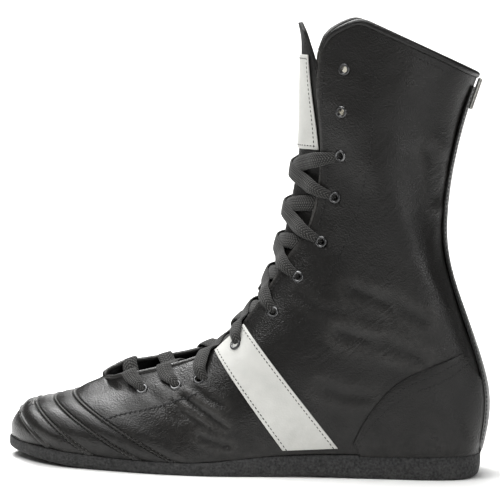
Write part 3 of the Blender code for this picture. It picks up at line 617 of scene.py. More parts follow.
def leatherFinish(name, look):
    material, tree, shader = newFinish(name, specular=look["specular"])
    where = objectPlace(tree)
    # the wear attribute carries real wear and painted highlights on fold crests and flap edges
    wear = addNode(tree, "ShaderNodeAttribute", attribute_name="wear").outputs["Fac"]
    flex = addNode(tree, "ShaderNodeAttribute", attribute_name="flex").outputs["Fac"]
    grain = placeGroup(tree, hideGrain, Vector=where, Cells=look["cells"], Patches=look["patches"])
    color = addMix(tree, grain["Patch"], look["dark"], look["light"])
    wearAndSheen = placeGroup(tree, rubbedWearAndSheen, Vector=where, Wear=wear, Color=color, Worn=look["worn"])
    dusted = placeGroup(tree, floorDust, Vector=where, Color=wearAndSheen["Color"], Reach=leatherLook["dustReach"],
                        Dust=look["dust"], Amount=look["dustAmount"])
    feed(tree, shader["Base Color"], dusted["Color"])
    gloss = addRange(tree, grain["Patch"], 0.0, 1.0, look["rough"], look["smooth"])
    dull = addMath(tree, "MULTIPLY", dusted["Mask"], leatherLook["dustRoughness"])
    feed(tree, shader["Roughness"], addMath(tree, "ADD", gloss, dull))
    # creases where the leather flexes, drawn out along the bend of the ankle
    drawn = addNode(tree, "ShaderNodeMapping",
                    {"Vector": where, "Rotation": (0.0, leatherLook["creaseTurn"], 0.0),
                     "Scale": leatherLook["creaseSize"]}, vector_type="TEXTURE").outputs["Vector"]
    bends = addNode(tree, "ShaderNodeTexNoise",
                    {"Vector": drawn, "Scale": 1.0, "Detail": 2.0, "Distortion": 0.6})
    line = addMath(tree, "ABSOLUTE", addMath(tree, "SUBTRACT", bends.outputs["Fac"], 0.5))
    crease = addMath(tree, "MULTIPLY", addRange(tree, line, 0.0, leatherLook["creaseWidth"], -1.0, 0.0), flex)
    height = addMath(tree, "ADD", grain["Height"], addMath(tree, "MULTIPLY", crease, look["creases"]))
    addBump(tree, shader, height, look["bump"], leatherLook["bumpDepth"])
    return material


rubberLook = {"dark": (0.004, 0.004, 0.0041), "light": (0.032, 0.032, 0.0325), "dust": (0.11, 0.107, 0.10),
              "dustAmount": 0.18, "dustReach": 0.014, "cells": 1150.0, "patches": 700.0, "rough": 0.80,
              "smooth": 0.64, "specular": 0.35, "treadPitch": 7.0, "treadSlope": 1.4, "tread": 2.6,
              "bump": 0.60, "bumpDepth": 0.0006}


def rubberFinish():
    material, tree, shader = newFinish("soleRubber", specular=rubberLook["specular"])
    where = objectPlace(tree)
    grain = placeGroup(tree, hideGrain, Vector=where, Cells=rubberLook["cells"],
                       Patches=rubberLook["patches"])
    color = addMix(tree, grain["Patch"], rubberLook["dark"], rubberLook["light"])
    dusted = placeGroup(tree, floorDust, Vector=where, Color=color, Reach=rubberLook["dustReach"],
                        Dust=rubberLook["dust"], Amount=rubberLook["dustAmount"])
    feed(tree, shader["Base Color"], dusted["Color"])
    gloss = addRange(tree, grain["Patch"], 0.0, 1.0, rubberLook["rough"], rubberLook["smooth"])
    feed(tree, shader["Roughness"], gloss)
    # diamond tread on the faces that look down
    parts = splitPlace(tree, where)
    facing = splitPlace(tree, addNode(tree, "ShaderNodeNewGeometry").outputs["Normal"])
    under = addRange(tree, facing["Z"], -0.8, -0.95, 0.0, 1.0)
    slope = addMath(tree, "MULTIPLY", parts["Y"], rubberLook["treadSlope"])
    waves = []
    for operation in ("ADD", "SUBTRACT"):
        run = addMath(tree, operation, parts["X"], slope)
        turns = addMath(tree, "MULTIPLY", run, pi / (rubberLook["treadPitch"] * mm))
        waves.append(addMath(tree, "ABSOLUTE", addMath(tree, "SINE", turns)))
    groove = addRange(tree, addMath(tree, "MINIMUM", *waves), 0.10, 0.30, 0.0, 1.0)
    tread = addMath(tree, "MULTIPLY", addMath(tree, "MULTIPLY", groove, under), rubberLook["tread"])
    height = addMath(tree, "ADD", tread, grain["Height"])
    addBump(tree, shader, height, rubberLook["bump"], rubberLook["bumpDepth"])
    return material


laceLook = {"dark": (0.002, 0.002, 0.002), "light": (0.080, 0.078, 0.073), "ribs": 6.2, "slant": 2.0,
            "across": 4.5, "strands": 0.7, "contrast": 3.2, "roughness": 0.86, "specular": 0.3, "sheen": 0.10,
            "bump": 0.7, "bumpDepth": 0.0004}


def laceFinish():
    material, tree, shader = newFinish("laceCloth", laceLook["roughness"], specular=laceLook["specular"])
    parts = splitPlace(tree, addNode(tree, "ShaderNodeUVMap", uv_map="map").outputs["UV"])
    # broad faces lie at v 0.25 and 0.75, so the chevron folds at their middle
    turns = addMath(tree, "MULTIPLY", parts["Y"], 2.0 * pi)
    fold = addMath(tree, "ABSOLUTE", addMath(tree, "COSINE", turns))
    run = weighted(tree, parts["X"], laceLook["ribs"], fold, laceLook["slant"])
    ribs = addMath(tree, "SINE", addMath(tree, "MULTIPLY", run, 2.0 * pi))
    strands = addMath(tree, "SINE", addMath(tree, "MULTIPLY", fold, 2.0 * pi * laceLook["across"]))
    most = 1.0 + laceLook["strands"]
    height = addMath(tree, "ADD", ribs, addMath(tree, "MULTIPLY", strands, laceLook["strands"]))
    height = addRange(tree, height, -most, most, 0.0, 1.0)
    tone = addMath(tree, "POWER", height, laceLook["contrast"])
    feed(tree, shader["Base Color"], addMix(tree, tone, laceLook["dark"], laceLook["light"]))
    shader["Sheen Weight"].default_value = laceLook["sheen"]
    addBump(tree, shader, height, laceLook["bump"], laceLook["bumpDepth"])
    return material


clothLook = {
    # dark tone, light tone, threads, roughness
    "pale": ((0.50, 0.48, 0.42), (0.66, 0.64, 0.58), 1500.0, 0.92),
    "black": ((0.008, 0.008, 0.008), (0.016, 0.016, 0.016), 1500.0, 0.92),
    "webbing": ((0.50, 0.49, 0.46), (0.74, 0.73, 0.69), 2600.0, 0.85),
    "cells": 700.0,
    "patches": 30.0,
    "weave": 0.4,
    "specular": 0.2,
    "bump": 0.4,
    "bumpDepth": 0.0003,
}


def clothFinish(name, dark, light, threads, roughness):
    material, tree, shader = newFinish(name, roughness, specular=clothLook["specular"])
    where = objectPlace(tree)
    parts = splitPlace(tree, where)
    run = addMath(tree, "MULTIPLY", addMath(tree, "ADD", parts["X"], parts["Y"]), threads * 2.0)
    rise = addMath(tree, "MULTIPLY", parts["Z"], threads * 2.0)
    weave = addMath(tree, "MULTIPLY", addMath(tree, "SINE", run), addMath(tree, "SINE", rise))
    weave = addRange(tree, weave, -1.0, 1.0, 0.0, 1.0)
    grain = placeGroup(tree, hideGrain, Vector=where, Cells=clothLook["cells"], Patches=clothLook["patches"])
    tone = weighted(tree, weave, clothLook["weave"], grain["Patch"], 1.0 - clothLook["weave"])
    feed(tree, shader["Base Color"], addMix(tree, tone, dark, light))
    addBump(tree, shader, weave, clothLook["bump"], clothLook["bumpDepth"])
    return material


plainLook = {
    # dark tone, light tone, roughness, metallic, cells
    "fine": ((0.025, 0.025, 0.024), (0.110, 0.107, 0.100), 0.42, 0.0, 1500.0),
    "inked": ((0.003, 0.003, 0.003), (0.011, 0.0108, 0.0105), 0.88, 0.0, 1500.0),
    "heavy": ((0.0025, 0.0025, 0.0025), (0.006, 0.006, 0.006), 0.75, 0.0, 1500.0),
    "metal": ((0.035, 0.035, 0.036), (0.13, 0.13, 0.132), 0.26, 0.9, 500.0),
    "rougher": 0.08,
    "smoother": 0.05,
    "bump": 0.15,
    "bumpDepth": 0.0002,
}


def plainFinish(name, dark, light, roughness, metallic, cells):
    material, tree, shader = newFinish(name, metallic=metallic)
    grain = placeGroup(tree, hideGrain, Vector=objectPlace(tree), Cells=cells, Patches=cells / 3.0)
    feed(tree, shader["Base Color"], addMix(tree, grain["Patch"], dark, light))
    rough, smooth = roughness + plainLook["rougher"], roughness - plainLook["smoother"]
    feed(tree, shader["Roughness"], addRange(tree, grain["Patch"], 0.0, 1.0, rough, smooth))
    addBump(tree, shader, grain["Height"], plainLook["bump"], plainLook["bumpDepth"])
    return material


blackLeather = leatherFinish("blackLeather", leatherLook["black"])
whiteLeather = leatherFinish("whiteLeather", leatherLook["white"])
soleRubber = rubberFinish()
laceCloth = laceFinish()
liningCloth = clothFinish("liningCloth", *clothLook["pale"])
darkLining = clothFinish("darkLining", *clothLook["black"])
webbingCloth = clothFinish("webbingCloth", *clothLook["webbing"])
grayThread = plainFinish("grayThread", *plainLook["fine"])
darkThread = plainFinish("darkThread", *plainLook["inked"])
blackThread = plainFinish("blackThread", *plainLook["heavy"])
darkMetal = plainFinish("darkMetal", *plainLook["metal"])
print("finishes ready")


# upper

upperLook = {
    "columns": 60,
    "rowStep": 0.085,
    "seamRows": (-0.15, -0.12, -0.1, -0.085, -0.07, -0.05, -0.03, 0.0,
                 0.03, 0.05, 0.07, 0.085, 0.1, 0.12, 0.15),
    "seamClear": 0.16,      # plain rows keep this far from a seam
    "tightRows": [0.03, 5.13, 5.20, 5.24, 5.29],
    "wall": 1.8,
    "seams": (1.0, 2.0, 3.0, 4.0),
    "ridge": 0.70,          # height of the roll between the two stitch rows of a toe seam
    "ridgeWidth": 0.045,
    "valley": 0.60,
    "valleyPlace": 0.085,
    "valleyWidth": 0.03,
    "puff": 0.55,           # how far the leather swells between the toe seams
    "puffRange": (0.3, 5.0),
    "footFade": 0.10,       # the seams fade out towards the sole
    "lip": {lateral: 5.0, medial: 9.0},
    "lipReach": 0.10,
    "lipRise": [(4.0, 0.0), (5.6, 1.0), (8.0, 0.0)],
    "softness": 0.55,
    "softScales": (0.035, 0.09),
    "softFade": 0.12,
    "pucker": 0.16,         # small waves where the leather flexes
    "hole": 2.4,
    "weld": 0.00003,
    "edgeWear": 0.35,
    "seamWear": 0.16,
    "stiffFlex": 0.25,      # flex of the leather away from the bends
    # shape of a fold, in widths: half-width of the trough, place and half-width of its crests
    "foldShape": (0.55, 1.35, 0.75),
    "foldCrest": 0.55,
    # painted highlight: a lighter tone laid along each fold's crest through the wear attribute
    "foldCrestHighlight": 0.30,
    # side, width, depth, points x, z along the fold
    "folds": [
        (lateral, 2.5, 1.40, [(-37.0, 46.0), (-29.0, 41.0), (-21.0, 36.0), (-12.0, 30.5)]),
        (lateral, 2.6, 0.85, [(-30.0, 51.0), (-22.0, 46.0), (-13.0, 42.0)]),
        (lateral, 2.6, 0.55, [(-44.0, 43.0), (-35.0, 36.5), (-24.0, 30.5)]),
        (lateral, 2.6, 1.00, [(-26.0, 24.0), (-18.0, 20.5), (-9.0, 18.5)]),
        (lateral, 4.0, 0.45, [(-56.0, 46.0), (-47.0, 39.0), (-38.0, 33.0)]),
        (lateral, 5.0, 0.60, [(104.0, 196.0), (108.0, 182.0), (110.0, 168.0)]),
        (lateral, 5.0, 1.00, [(56.0, 87.0), (80.0, 82.0), (102.0, 75.0)]),
        (lateral, 4.0, 0.40, [(30.0, 108.0), (42.0, 101.0), (57.0, 98.0)]),
        (lateral, 5.0, 0.75, [(62.0, 113.0), (85.0, 106.0), (104.0, 97.0)]),
        (lateral, 5.0, 0.60, [(46.0, 55.0), (60.0, 50.0), (72.0, 50.0)]),
        (medial, 3.2, 0.90, [(-36.0, 45.0), (-24.0, 37.0), (-10.0, 31.0)]),
        (medial, 4.0, 0.60, [(-54.0, 42.0), (-44.0, 35.0), (-32.0, 29.0)]),
        (medial, 6.0, 0.55, [(32.0, 98.0), (54.0, 90.0), (76.0, 90.0)]),
        (medial, 5.0, 0.55, [(102.0, 192.0), (107.0, 178.0), (108.0, 162.0)]),
        (medial, 6.0, 0.45, [(48.0, 126.0), (70.0, 118.0), (94.0, 120.0)]),
    ],
    # x, z and reach of the places where the leather flexes
    "flex": [(-30.0, 40.0, 24.0), (42.0, 100.0, 26.0), (76.0, 92.0, 30.0), (106.0, 178.0, 24.0)],
    # the lining is black ahead of this x and under this z
    "darkInside": (20.0, 90.0),
}


def distanceToLine(x, z, points):
    best = np.full(x.shape, 1e9)
    for (ax, az), (bx, bz) in zip(points, points[1:]):
        length = (bx - ax) ** 2 + (bz - az) ** 2
        share = np.clip(((x - ax) * (bx - ax) + (z - az) * (bz - az)) / length, 0.0, 1.0)
        best = np.minimum(best, np.hypot(x - ax - share * (bx - ax), z - az - share * (bz - az)))
    return best


def bell(distance, width):
    return np.exp(-(distance / width) ** 2)


def seamProfile(u):
    lift = np.zeros_like(u)
    for seam in upperLook["seams"]:
        d = np.abs(u - seam)
        lift += upperLook["ridge"] * bell(d, upperLook["ridgeWidth"])
        lift -= upperLook["valley"] * bell(d - upperLook["valleyPlace"], upperLook["valleyWidth"])
    first, last = upperLook["puffRange"]
    swell = np.where((u > first) & (u < last), np.sin(pi * np.clip(u, 0.0, last)) ** 2, 0.0)
    return lift + upperLook["puff"] * swell


def upperLift(u, t, side):
    u, t, side = sameShape(u, t, side)
    lift = seamProfile(u) * np.clip((1.0 - t) / upperLook["footFade"], 0.0, 1.0)
    rise = tableAt(upperLook["lipRise"], u)
    lip = np.where(side < 0.0, upperLook["lip"][lateral], upperLook["lip"][medial])
    lip = np.where(u <= throatFront, np.mean(list(upperLook["lip"].values())), lip)
    return lift + lip * rise * np.clip(1.0 - (t - throatT(u)) / upperLook["lipReach"], 0.0, 1.0) ** 2


def foldLift(points, side):
    lift, wear = np.zeros(len(points)), np.zeros(len(points))
    trough, crestPlace, crestWidth = upperLook["foldShape"]
    for foldSide, width, depth, line in upperLook["folds"]:
        if foldSide == side:
            d = distanceToLine(points[:, 0], points[:, 2], line)
            crest = bell(d - crestPlace * width, crestWidth * width)
            lift += depth * (upperLook["foldCrest"] * crest - bell(d, trough * width))
            # the crest gets a painted highlight, carried in the wear value
            wear += upperLook["foldCrestHighlight"] * depth * crest
    return lift, wear


def flexShare(points):
    share = np.zeros(len(points))
    for x, z, reach in upperLook["flex"]:
        share += np.exp(-((points[:, 0] - x) ** 2 + (points[:, 2] - z) ** 2) / reach ** 2)
    return np.clip(share, 0.0, 1.0)


def softLift(points):
    broad, small = upperLook["softScales"]
    offset = Vector((7.0, 3.0, 1.0))
    soft = [noise.noise(Vector(p) * broad) + 0.5 * noise.noise(Vector(p) * small + offset) for p in points]
    # drawn out along the bend of the foot
    waves = [noise.noise(Vector((0.10 * (x - z), 0.10 * y, 0.28 * (x + z)))) for x, y, z in points]
    return upperLook["softness"] * np.array(soft) + upperLook["pucker"] * np.array(waves) * flexShare(points)


def upperPoint(u, t, side):
    return skin(u, t, side, upperLift(u, t, side))


def upperRows():
    stops, seams = [throatFront, heelSeat, collar], upperLook["seams"]
    rows = [u for u in np.arange(0.0, collar + 0.001, upperLook["rowStep"])
            if min(abs(u - seam) for seam in seams) > upperLook["seamClear"]]
    rows += [seam + step for seam in seams for step in upperLook["seamRows"]] + upperLook["tightRows"]
    rows = [u for u in rows if min(abs(u - stop) for stop in stops) > 0.02]
    return np.array(sorted(rows + stops))


def eyeletFrame(x, z, side):
    u, t = locate(x, z, side)
    alongU = upperPoint(u + 0.1, t, side) - upperPoint(u - 0.1, t, side)
    alongT = upperPoint(u, t + 0.03, side) - upperPoint(u, t - 0.03, side)
    return upperPoint(u, t, side)[0], unit(np.cross(alongU, alongT) * side)[0]


eyeletFrames = {(name, number): eyeletFrame(x, z, side)
                for name, side in sideNames.items() for number, (x, z) in enumerate(lastShape["eyelets"], 1)}


def buildUpper():
    rows = upperRows()
    bm = bmesh.new()
    wearLayer = bm.verts.layers.float.new("wear")
    flexLayer = bm.verts.layers.float.new("flex")
    for side in sideNames.values():
        def place(a, b, side=side):
            u = rows[stepAt(a, len(rows))]
            t = throatT(u) + (1.0 - throatT(u)) * b
            points = upperPoint(u, t, side)
            fade = np.clip((1.0 - b) / upperLook["softFade"], 0.0, 1.0) * np.clip((u - 4.0) / 2.0, 0.3, 1.0)
            lift = foldLift(points, side)[0] + softLift(points) * fade
            points = points + lift[:, None] * lastNormal(u, t, side)
            # the two sides share the toe line, the back seam and the tip of the toe
            shared = ((b < 1e-6) & (u <= throatFront)) | ((b > 1.0 - 1e-6) & (u >= heelSeat)) | (u == 0.0)
            points[:, 1] = np.where(shared, sectionAt(u)[:, 7], points[:, 1])
            return points

        verts, ab = mappedGrid(bm, len(rows) - 1, upperLook["columns"], place)
        u = rows[stepAt(ab[:, 0], len(rows))]
        points = np.array([v.co[:] for v in verts]) / mm
        # wear holds the painted highlights on the fold crests, and real wear along the throat edge and the
        # toe seams
        wear = foldLift(points, side)[1] + upperLook["edgeWear"] * bell(ab[:, 1], 0.012) * (u > throatFront)
        for seam in upperLook["seams"]:
            wear = wear + upperLook["seamWear"] * bell(u - seam, 0.05)
        for vert, worn, bent in zip(verts, np.clip(wear, 0.0, 1.0), flexShare(points)):
            vert[wearLayer] = float(worn)
            vert[flexLayer] = upperLook["stiffFlex"] + (1.0 - upperLook["stiffFlex"]) * float(bent)
    bmesh.ops.remove_doubles(bm, verts=bm.verts, dist=upperLook["weld"])
    centres = [Vector(place * mm) for place, _ in eyeletFrames.values()]
    inHole = [f for f in bm.faces
              if min((f.calc_center_median() - c).length for c in centres) < upperLook["hole"] * mm]
    bmesh.ops.delete(bm, geom=inHole, context="FACES")
    # the wall's inner side takes the next slot, so the vamp's faces lead to the black lining
    darkX, darkZ = upperLook["darkInside"]
    for face in bm.faces:
        middle = face.calc_center_median() / mm
        face.material_index = 2 if middle.x < darkX and middle.z < darkZ else 0
    finishes = [blackLeather, liningCloth, blackLeather, darkLining]
    upper = addSheet(bm, "upperLeather", finishes, "black_leather", ["upper"])
    addWall(upper, upperLook["wall"], outward=False, inner=1)


buildUpper()
print("upper ready")


# stitches: small oval lumps laid along rows, joined into one mesh for each kind

stitchLook = {
    "fine": {"pitch": 2.6, "size": (1.7, 0.60, 0.55), "slant": 0.0},
    "inked": {"pitch": 2.6, "size": (1.9, 0.62, 0.55), "slant": 0.0},
    "heavy": {"pitch": 3.0, "size": (3.6, 1.1, 1.3), "slant": 58.0},
}
seamLook = {
    "vampCut": (0.8, 0.5),      # width and thickness of the dark cut under the heavy row
    "vampRow": [(-84.0, 30.0), (-70.0, 34.5), (-56.0, 38.0), (-42.0, 42.5), (-29.0, 47.5)],
    "eyestayRow": [(68.0, 242.0), (69.0, 218.0), (68.5, 194.0), (66.5, 182.0), (62.7, 160.0), (59.0, 147.0),
                   (47.6, 121.0), (39.5, 105.0), (29.5, 90.5)],
    "rowLift": 0.05,        # height of a row over the leather
    "toeEnd": 0.97,
    "flapRow": (8.6, 20.9),
    "flapInset": 2.6,
    "collarRow": 21.72,
    "collarStart": 0.03,
}
stitchMarks = {kind: [] for kind in stitchLook}     # matrices of all stitches


def stitchRow(path, normals, kind="inked"):
    look = stitchLook[kind]
    half = np.array(look["size"]) / 2.0
    both = resample(np.concatenate([path, normals], axis=1), look["pitch"])
    places, ups = both[:, :3], unit(both[:, 3:])
    ahead = unit(np.gradient(places, axis=0))
    c, s = cos(radians(look["slant"])), sin(radians(look["slant"]))
    for place, up, run in zip(places, ups, ahead):
        across = unit(np.cross(up, run))
        top = np.cross(run, across)
        run, across = c * run + s * across, c * across - s * run
        turn = Matrix((np.stack([run, across, top], axis=1) * half).tolist()).to_4x4()
        stitchMarks[kind].append(Matrix.Translation(Vector(place * mm)) @ Matrix.Scale(mm, 4) @ turn)


def sideSkin(x, z, side, lift, foldShare=1.0):      # the creased leather at x, z in the side view
    u, t = locate(x, z, side)
    base, normal = upperPoint(u, t, side), lastNormal(u, t, side)
    return base + (foldShare * foldLift(base, side)[0] + lift)[:, None] * normal, normal


def sideLine(points, side, lift):       # smooth line through x, z points, laid on one side of the shoe
    x, z = curvePoint(naturalCurve(points), np.linspace(0.0, len(points) - 1.0, 160)).T
    return sideSkin(x, z, side, lift)


def stitchUpper():
    cuts = bmesh.new()
    rowLift = seamLook["rowLift"]
    for side in sideNames.values():
        t = np.linspace(0.0, seamLook["toeEnd"], 240)
        for seam in upperLook["seams"]:
            for step in (-upperLook["valleyPlace"], upperLook["valleyPlace"]):
                u = np.full(t.shape, seam + step)
                stitchRow(upperPoint(u, t, side), lastNormal(u, t, side), kind="fine")
        path, normals = sideLine(seamLook["vampRow"], side, 2.0 * rowLift)
        stitchRow(path, normals, kind="heavy")
        sweep(cuts, path, normals, *seamLook["vampCut"], ring=8)
        stitchRow(*sideLine(seamLook["eyestayRow"], side, rowLift))
        # one row along the flap's edge and one under the collar's binding
        u = np.linspace(*seamLook["flapRow"], 300)
        t = tAtHalf(u, throatHalf(u) + seamLook["flapInset"])
        stitchRow(skin(u, t, side, upperLift(u, t, side) + rowLift), lastNormal(u, t, side))
        t = np.linspace(float(throatT(seamLook["collarRow"])) + seamLook["collarStart"], 1.0, 260)
        u = np.full(t.shape, seamLook["collarRow"])
        stitchRow(skin(u, t, side, rowLift), lastNormal(u, t, side))
    addClosed(cuts, "vampCuts", [blackThread], "lace_cloth")


stitchUpper()


# collar binding, the rolled rim at the front of the throat and the turned edges of the flaps

bindingLook = {"width": 4.6, "thick": 4.2, "reach": 1.2, "first": 19.9, "full": 20.9, "corner": 21.93,
               "sink": 0.9, "thin": 0.42, "rounding": 6}
rimLook = {"radius": 1.7, "last": 8.2, "bend": 5.35, "sink": 0.7, "rounding": 4, "taper": 0.10, "thin": 0.35,
           "wear": 0.25}
# the flap edges' wear value paints a lighter tone along each turned edge: a painted highlight
flapLook = {"radius": 0.95, "first": 7.8, "last": 20.4, "sink": 0.9, "wear": 0.85}


def bothSides(u, t):        # a run along the lateral side and back along the medial one
    side = np.concatenate([np.full(len(u), lateral), np.full(len(u) - 1, medial)])
    return np.concatenate([u, u[-2::-1]]), np.concatenate([t, t[-2::-1]]), side


def buildBinding():
    corner = np.linspace(bindingLook["first"], bindingLook["corner"], 60)
    u = np.concatenate([corner, np.full(100, collar)])
    t = np.concatenate([throatT(corner), np.linspace(float(throatT(collar)), 1.0, 100)])
    u, t, side = bothSides(u, t)
    points, normals = skin(u, t, side, -bindingLook["sink"]), lastNormal(u, t, side)
    grown = np.clip((u - bindingLook["first"]) / (bindingLook["full"] - bindingLook["first"]), 0.0, 1.0)
    grown = bindingLook["thin"] + (1.0 - bindingLook["thin"]) * grown
    edgeOut = unit(np.cross(normals, np.gradient(points, axis=0)))
    # the corners of a folded binding are round
    points = relax(points + (bindingLook["reach"] * grown)[:, None] * edgeOut, bindingLook["rounding"])
    bm = bmesh.new()
    sweep(bm, points, normals, bindingLook["thick"] * grown, bindingLook["width"] * grown, ring=12, power=0.9)
    addClosed(bm, "collarBinding", [blackLeather], "black_leather", ["collar_binding"])


def buildThroatRim():
    u = np.concatenate([np.linspace(rimLook["last"], rimLook["bend"], 60),
                        np.linspace(rimLook["bend"] - 0.02, throatFront, 24)])
    u, t, side = bothSides(u, throatT(u))
    normals = lastNormal(u, t, side)
    points = relax(upperPoint(u, t, side) - rimLook["sink"] * normals, rimLook["rounding"])
    share = np.linspace(0.0, 1.0, len(points))
    taper = np.clip(np.minimum(share, share[::-1]) / rimLook["taper"], rimLook["thin"], 1.0)
    size = 2.0 * rimLook["radius"] * taper
    bm = bmesh.new()
    sweep(bm, points, normals, size, size, ring=12, power=1.0)
    setWearAndSheen(bm, rimLook["wear"])
    addClosed(bm, "throatRim", [blackLeather], "black_leather")


def buildFlapEdges():       # the turned edge of each flap, with a painted highlight along it as a light line
    u = np.linspace(flapLook["first"], flapLook["last"], 220)
    t = throatT(u)
    size = 2.0 * flapLook["radius"]
    bm = bmesh.new()
    for side in sideNames.values():
        normals = lastNormal(u, t, side)
        points = upperPoint(u, t, side) - flapLook["sink"] * normals
        sweep(bm, points, normals, size, size, power=1.0)
    # painted highlight: the lighter worn tone laid along the whole flap edge
    setWearAndSheen(bm, flapLook["wear"])
    addClosed(bm, "flapEdges", [blackLeather], "black_leather")


buildBinding()
buildThroatRim()
buildFlapEdges()
print("edges ready")


# sole and insole

soleLook = {
    "overhang": 1.2, "seat": 0.15,
    # rise of the underside: height, where it starts and how far it runs
    "toeSpring": (5.5, -78.0, 64.0), "archLift": (1.2, 8.0, 64.0), "heelBevel": (2.0, 132.0, 14.0),
    "toePower": 1.7,
    # distance in from the side and share of the height, from the top edge to the floor
    "side": [(0.75, 1.0), (0.2, 0.97), (0.0, 0.86), (0.0, 0.62), (0.0, 0.40), (0.05, 0.20), (0.45, 0.06),
             (1.3, 0.0)],
    "across": 11,
}
insoleLook = {"inset": 3.4, "lift": 0.5, "thick": 2.3, "dish": 1.1, "dishPower": 5, "columns": 24}


def feather(u, inset):      # the lateral and the medial line where the upper meets the sole
    pair = []
    for side in (lateral, medial):
        ahead, behind = np.minimum(u + 0.02, heelSeat), np.maximum(u - 0.02, 0.0)
        along = lastPoint(ahead, 1.0, side) - lastPoint(behind, 1.0, side)
        out = np.stack([along[:, 1], -along[:, 0]], -1) * -side
        out[u < 0.02] = (-1.0, 0.0)
        out[u > heelSeat - 0.02] = (1.0, 0.0)
        p = lastPoint(u, np.ones_like(u), side)
        p[:, :2] -= inset * unit(out)
        pair.append(p)
    return pair


featherRun = sectionAt(np.arange(0.0, heelSeat + 0.01, 0.1))


def featherLevel(x):
    return np.interp(x, featherRun[:, 2], featherRun[:, 3])


def soleBottom(x):
    spring, springStart, springRun = soleLook["toeSpring"]
    lift, liftStart, liftRun = soleLook["archLift"]
    bevel, bevelStart, bevelRun = soleLook["heelBevel"]
    toe = spring * (np.clip(springStart - x, 0.0, None) / springRun) ** soleLook["toePower"]
    inArch = (x > liftStart) & (x < liftStart + liftRun)
    arch = np.where(inArch, lift * np.sin(pi * (x - liftStart) / liftRun) ** 2, 0.0)
    heel = bevel * (np.clip(x - bevelStart, 0.0, None) / bevelRun) ** 2
    return toe + arch + heel


def buildOutsole():
    rows = np.concatenate([[0.0, 0.06, 0.15, 0.25], np.arange(0.35, 12.0, 0.15), np.linspace(12.0, 13.9, 30),
                           [13.96, heelSeat]])
    across = np.linspace(0.0, 1.0, soleLook["across"])[:-1]
    profile = soleLook["side"]
    sides = {inset: feather(rows, inset - soleLook["overhang"]) for inset, _ in profile}

    def level(p, share):
        top, bottom = featherLevel(p[:, 0]) - soleLook["seat"], soleBottom(p[:, 0])
        return np.stack([p[:, 0], p[:, 1], bottom + share * (top - bottom)], -1)

    # over the top, down the medial side, back under the sole and up the lateral side
    topLeft, topRight = sides[profile[0][0]]
    lowLeft, lowRight = sides[profile[-1][0]]
    rings = [level(topLeft + share * (topRight - topLeft), 1.0) for share in across]
    rings += [level(sides[inset][1], share) for inset, share in profile[:-1]]
    rings += [level(lowRight + share * (lowLeft - lowRight), 0.0) for share in across]
    rings += [level(sides[inset][0], share) for inset, share in profile[:0:-1]]
    rings = np.stack(rings + rings[:1])

    def place(a, b):
        return rings[stepAt(b, len(rings)), stepAt(a, len(rows))]

    bm = bmesh.new()
    mappedGrid(bm, len(rows) - 1, len(rings) - 1, place)
    addClosed(bm, "outsoleRubber", [soleRubber], "rubber", ["outsole"])


def buildInsole():
    rows = np.concatenate([np.linspace(0.30, 1.0, 8), np.arange(1.25, 13.0, 0.25),
                           np.linspace(13.1, 13.7, 6)])
    left, right = feather(rows, insoleLook["inset"])

    def place(a, b):
        i = stepAt(a, len(rows))
        p = left[i] + b[:, None] * (right[i] - left[i])
        dish = insoleLook["dish"] * np.abs(2.0 * b - 1.0) ** insoleLook["dishPower"]
        p[:, 2] = featherLevel(p[:, 0]) + insoleLook["lift"] + insoleLook["thick"] + dish
        return p

    bm = bmesh.new()
    mappedGrid(bm, len(rows) - 1, insoleLook["columns"], place)
    insole = addSheet(bm, "insoleCloth", [liningCloth], "lining", ["insole"])
    if insole.data.polygons[0].normal.z < 0.0:
        insole.data.flip_normals()
    addWall(insole, insoleLook["thick"], outward=False)


buildOutsole()
buildInsole()
print("sole ready")


# tongue and its patch

tongueLook = {
    "first": 4.2, "last": 20.3, "underFlap": 11.0, "frontShare": 0.62, "widening": 0.3, "thick": 2.6,
    "crown": 0.5, "lean": 2.0, "roundEdge": 0.7, "rowStart": 17.2, "rowInset": 2.4,
    # depth under the last, from the section where it starts to grow
    "sink": (2.2, 3.8), "sinkStart": 4.7, "sinkRun": 0.9,
    # sections between which the rows turn from slanted to level
    "level": (17.0, 19.0),
    # height, half-width of the free top
    "top": [(222.0, 34.8), (236.0, 31.0), (243.0, 26.0), (250.0, 18.0), (257.5, 12.0), (264.0, 8.0),
            (269.0, 3.0)],
}
patchLook = {"lowHalf": 20.5, "highHalf": 15.0, "lowZ": 194.0, "highZ": 250.0, "lift": 0.25, "thick": 0.9,
             "inset": 2.2, "roundEdge": 0.3}


def tongueLift(u):
    least, most = tongueLook["sink"]
    share = np.clip((u - tongueLook["sinkStart"]) / tongueLook["sinkRun"], 0.0, 1.0)
    return -(least + (most - least) * share)


def tongueHalf(u):
    half = throatHalf(np.clip(u, 5.6, 18.0)) + tongueLook["underFlap"]
    wider = tongueLook["widening"] * (u - tongueLook["first"])
    half = half * np.minimum(1.0, tongueLook["frontShare"] + wider)
    return np.minimum(half, tableAt(tongueLook["top"], sectionAt(u)[..., 1]))


def frontSkin(u, y, lift):      # a layer under the throat, y from the lateral to the medial edge
    side = np.where(y < 0.0, lateral, medial)
    t = tAtHalf(u, np.abs(y))
    return skin(u, t, side, tongueLift(u) + lift), lastNormal(u, t, side)


def tonguePoint(u, y, lift):
    half = np.abs(y)
    crownZ, slantedZ = sectionAt(u)[..., 1], lastPoint(u, tAtHalf(u, half), lateral)[..., 2]
    first, last = tongueLook["level"]
    level = np.clip((u - first) / (last - first), 0.0, 1.0)
    here = np.where(level > 0.0, frontSection(slantedZ + level * (crownZ - slantedZ), half), u)
    lean = tongueLook["lean"] * np.clip((u - last) / (tongueLook["last"] - last), 0.0, 1.0) ** 2
    return frontSkin(here, y, lift + lean)


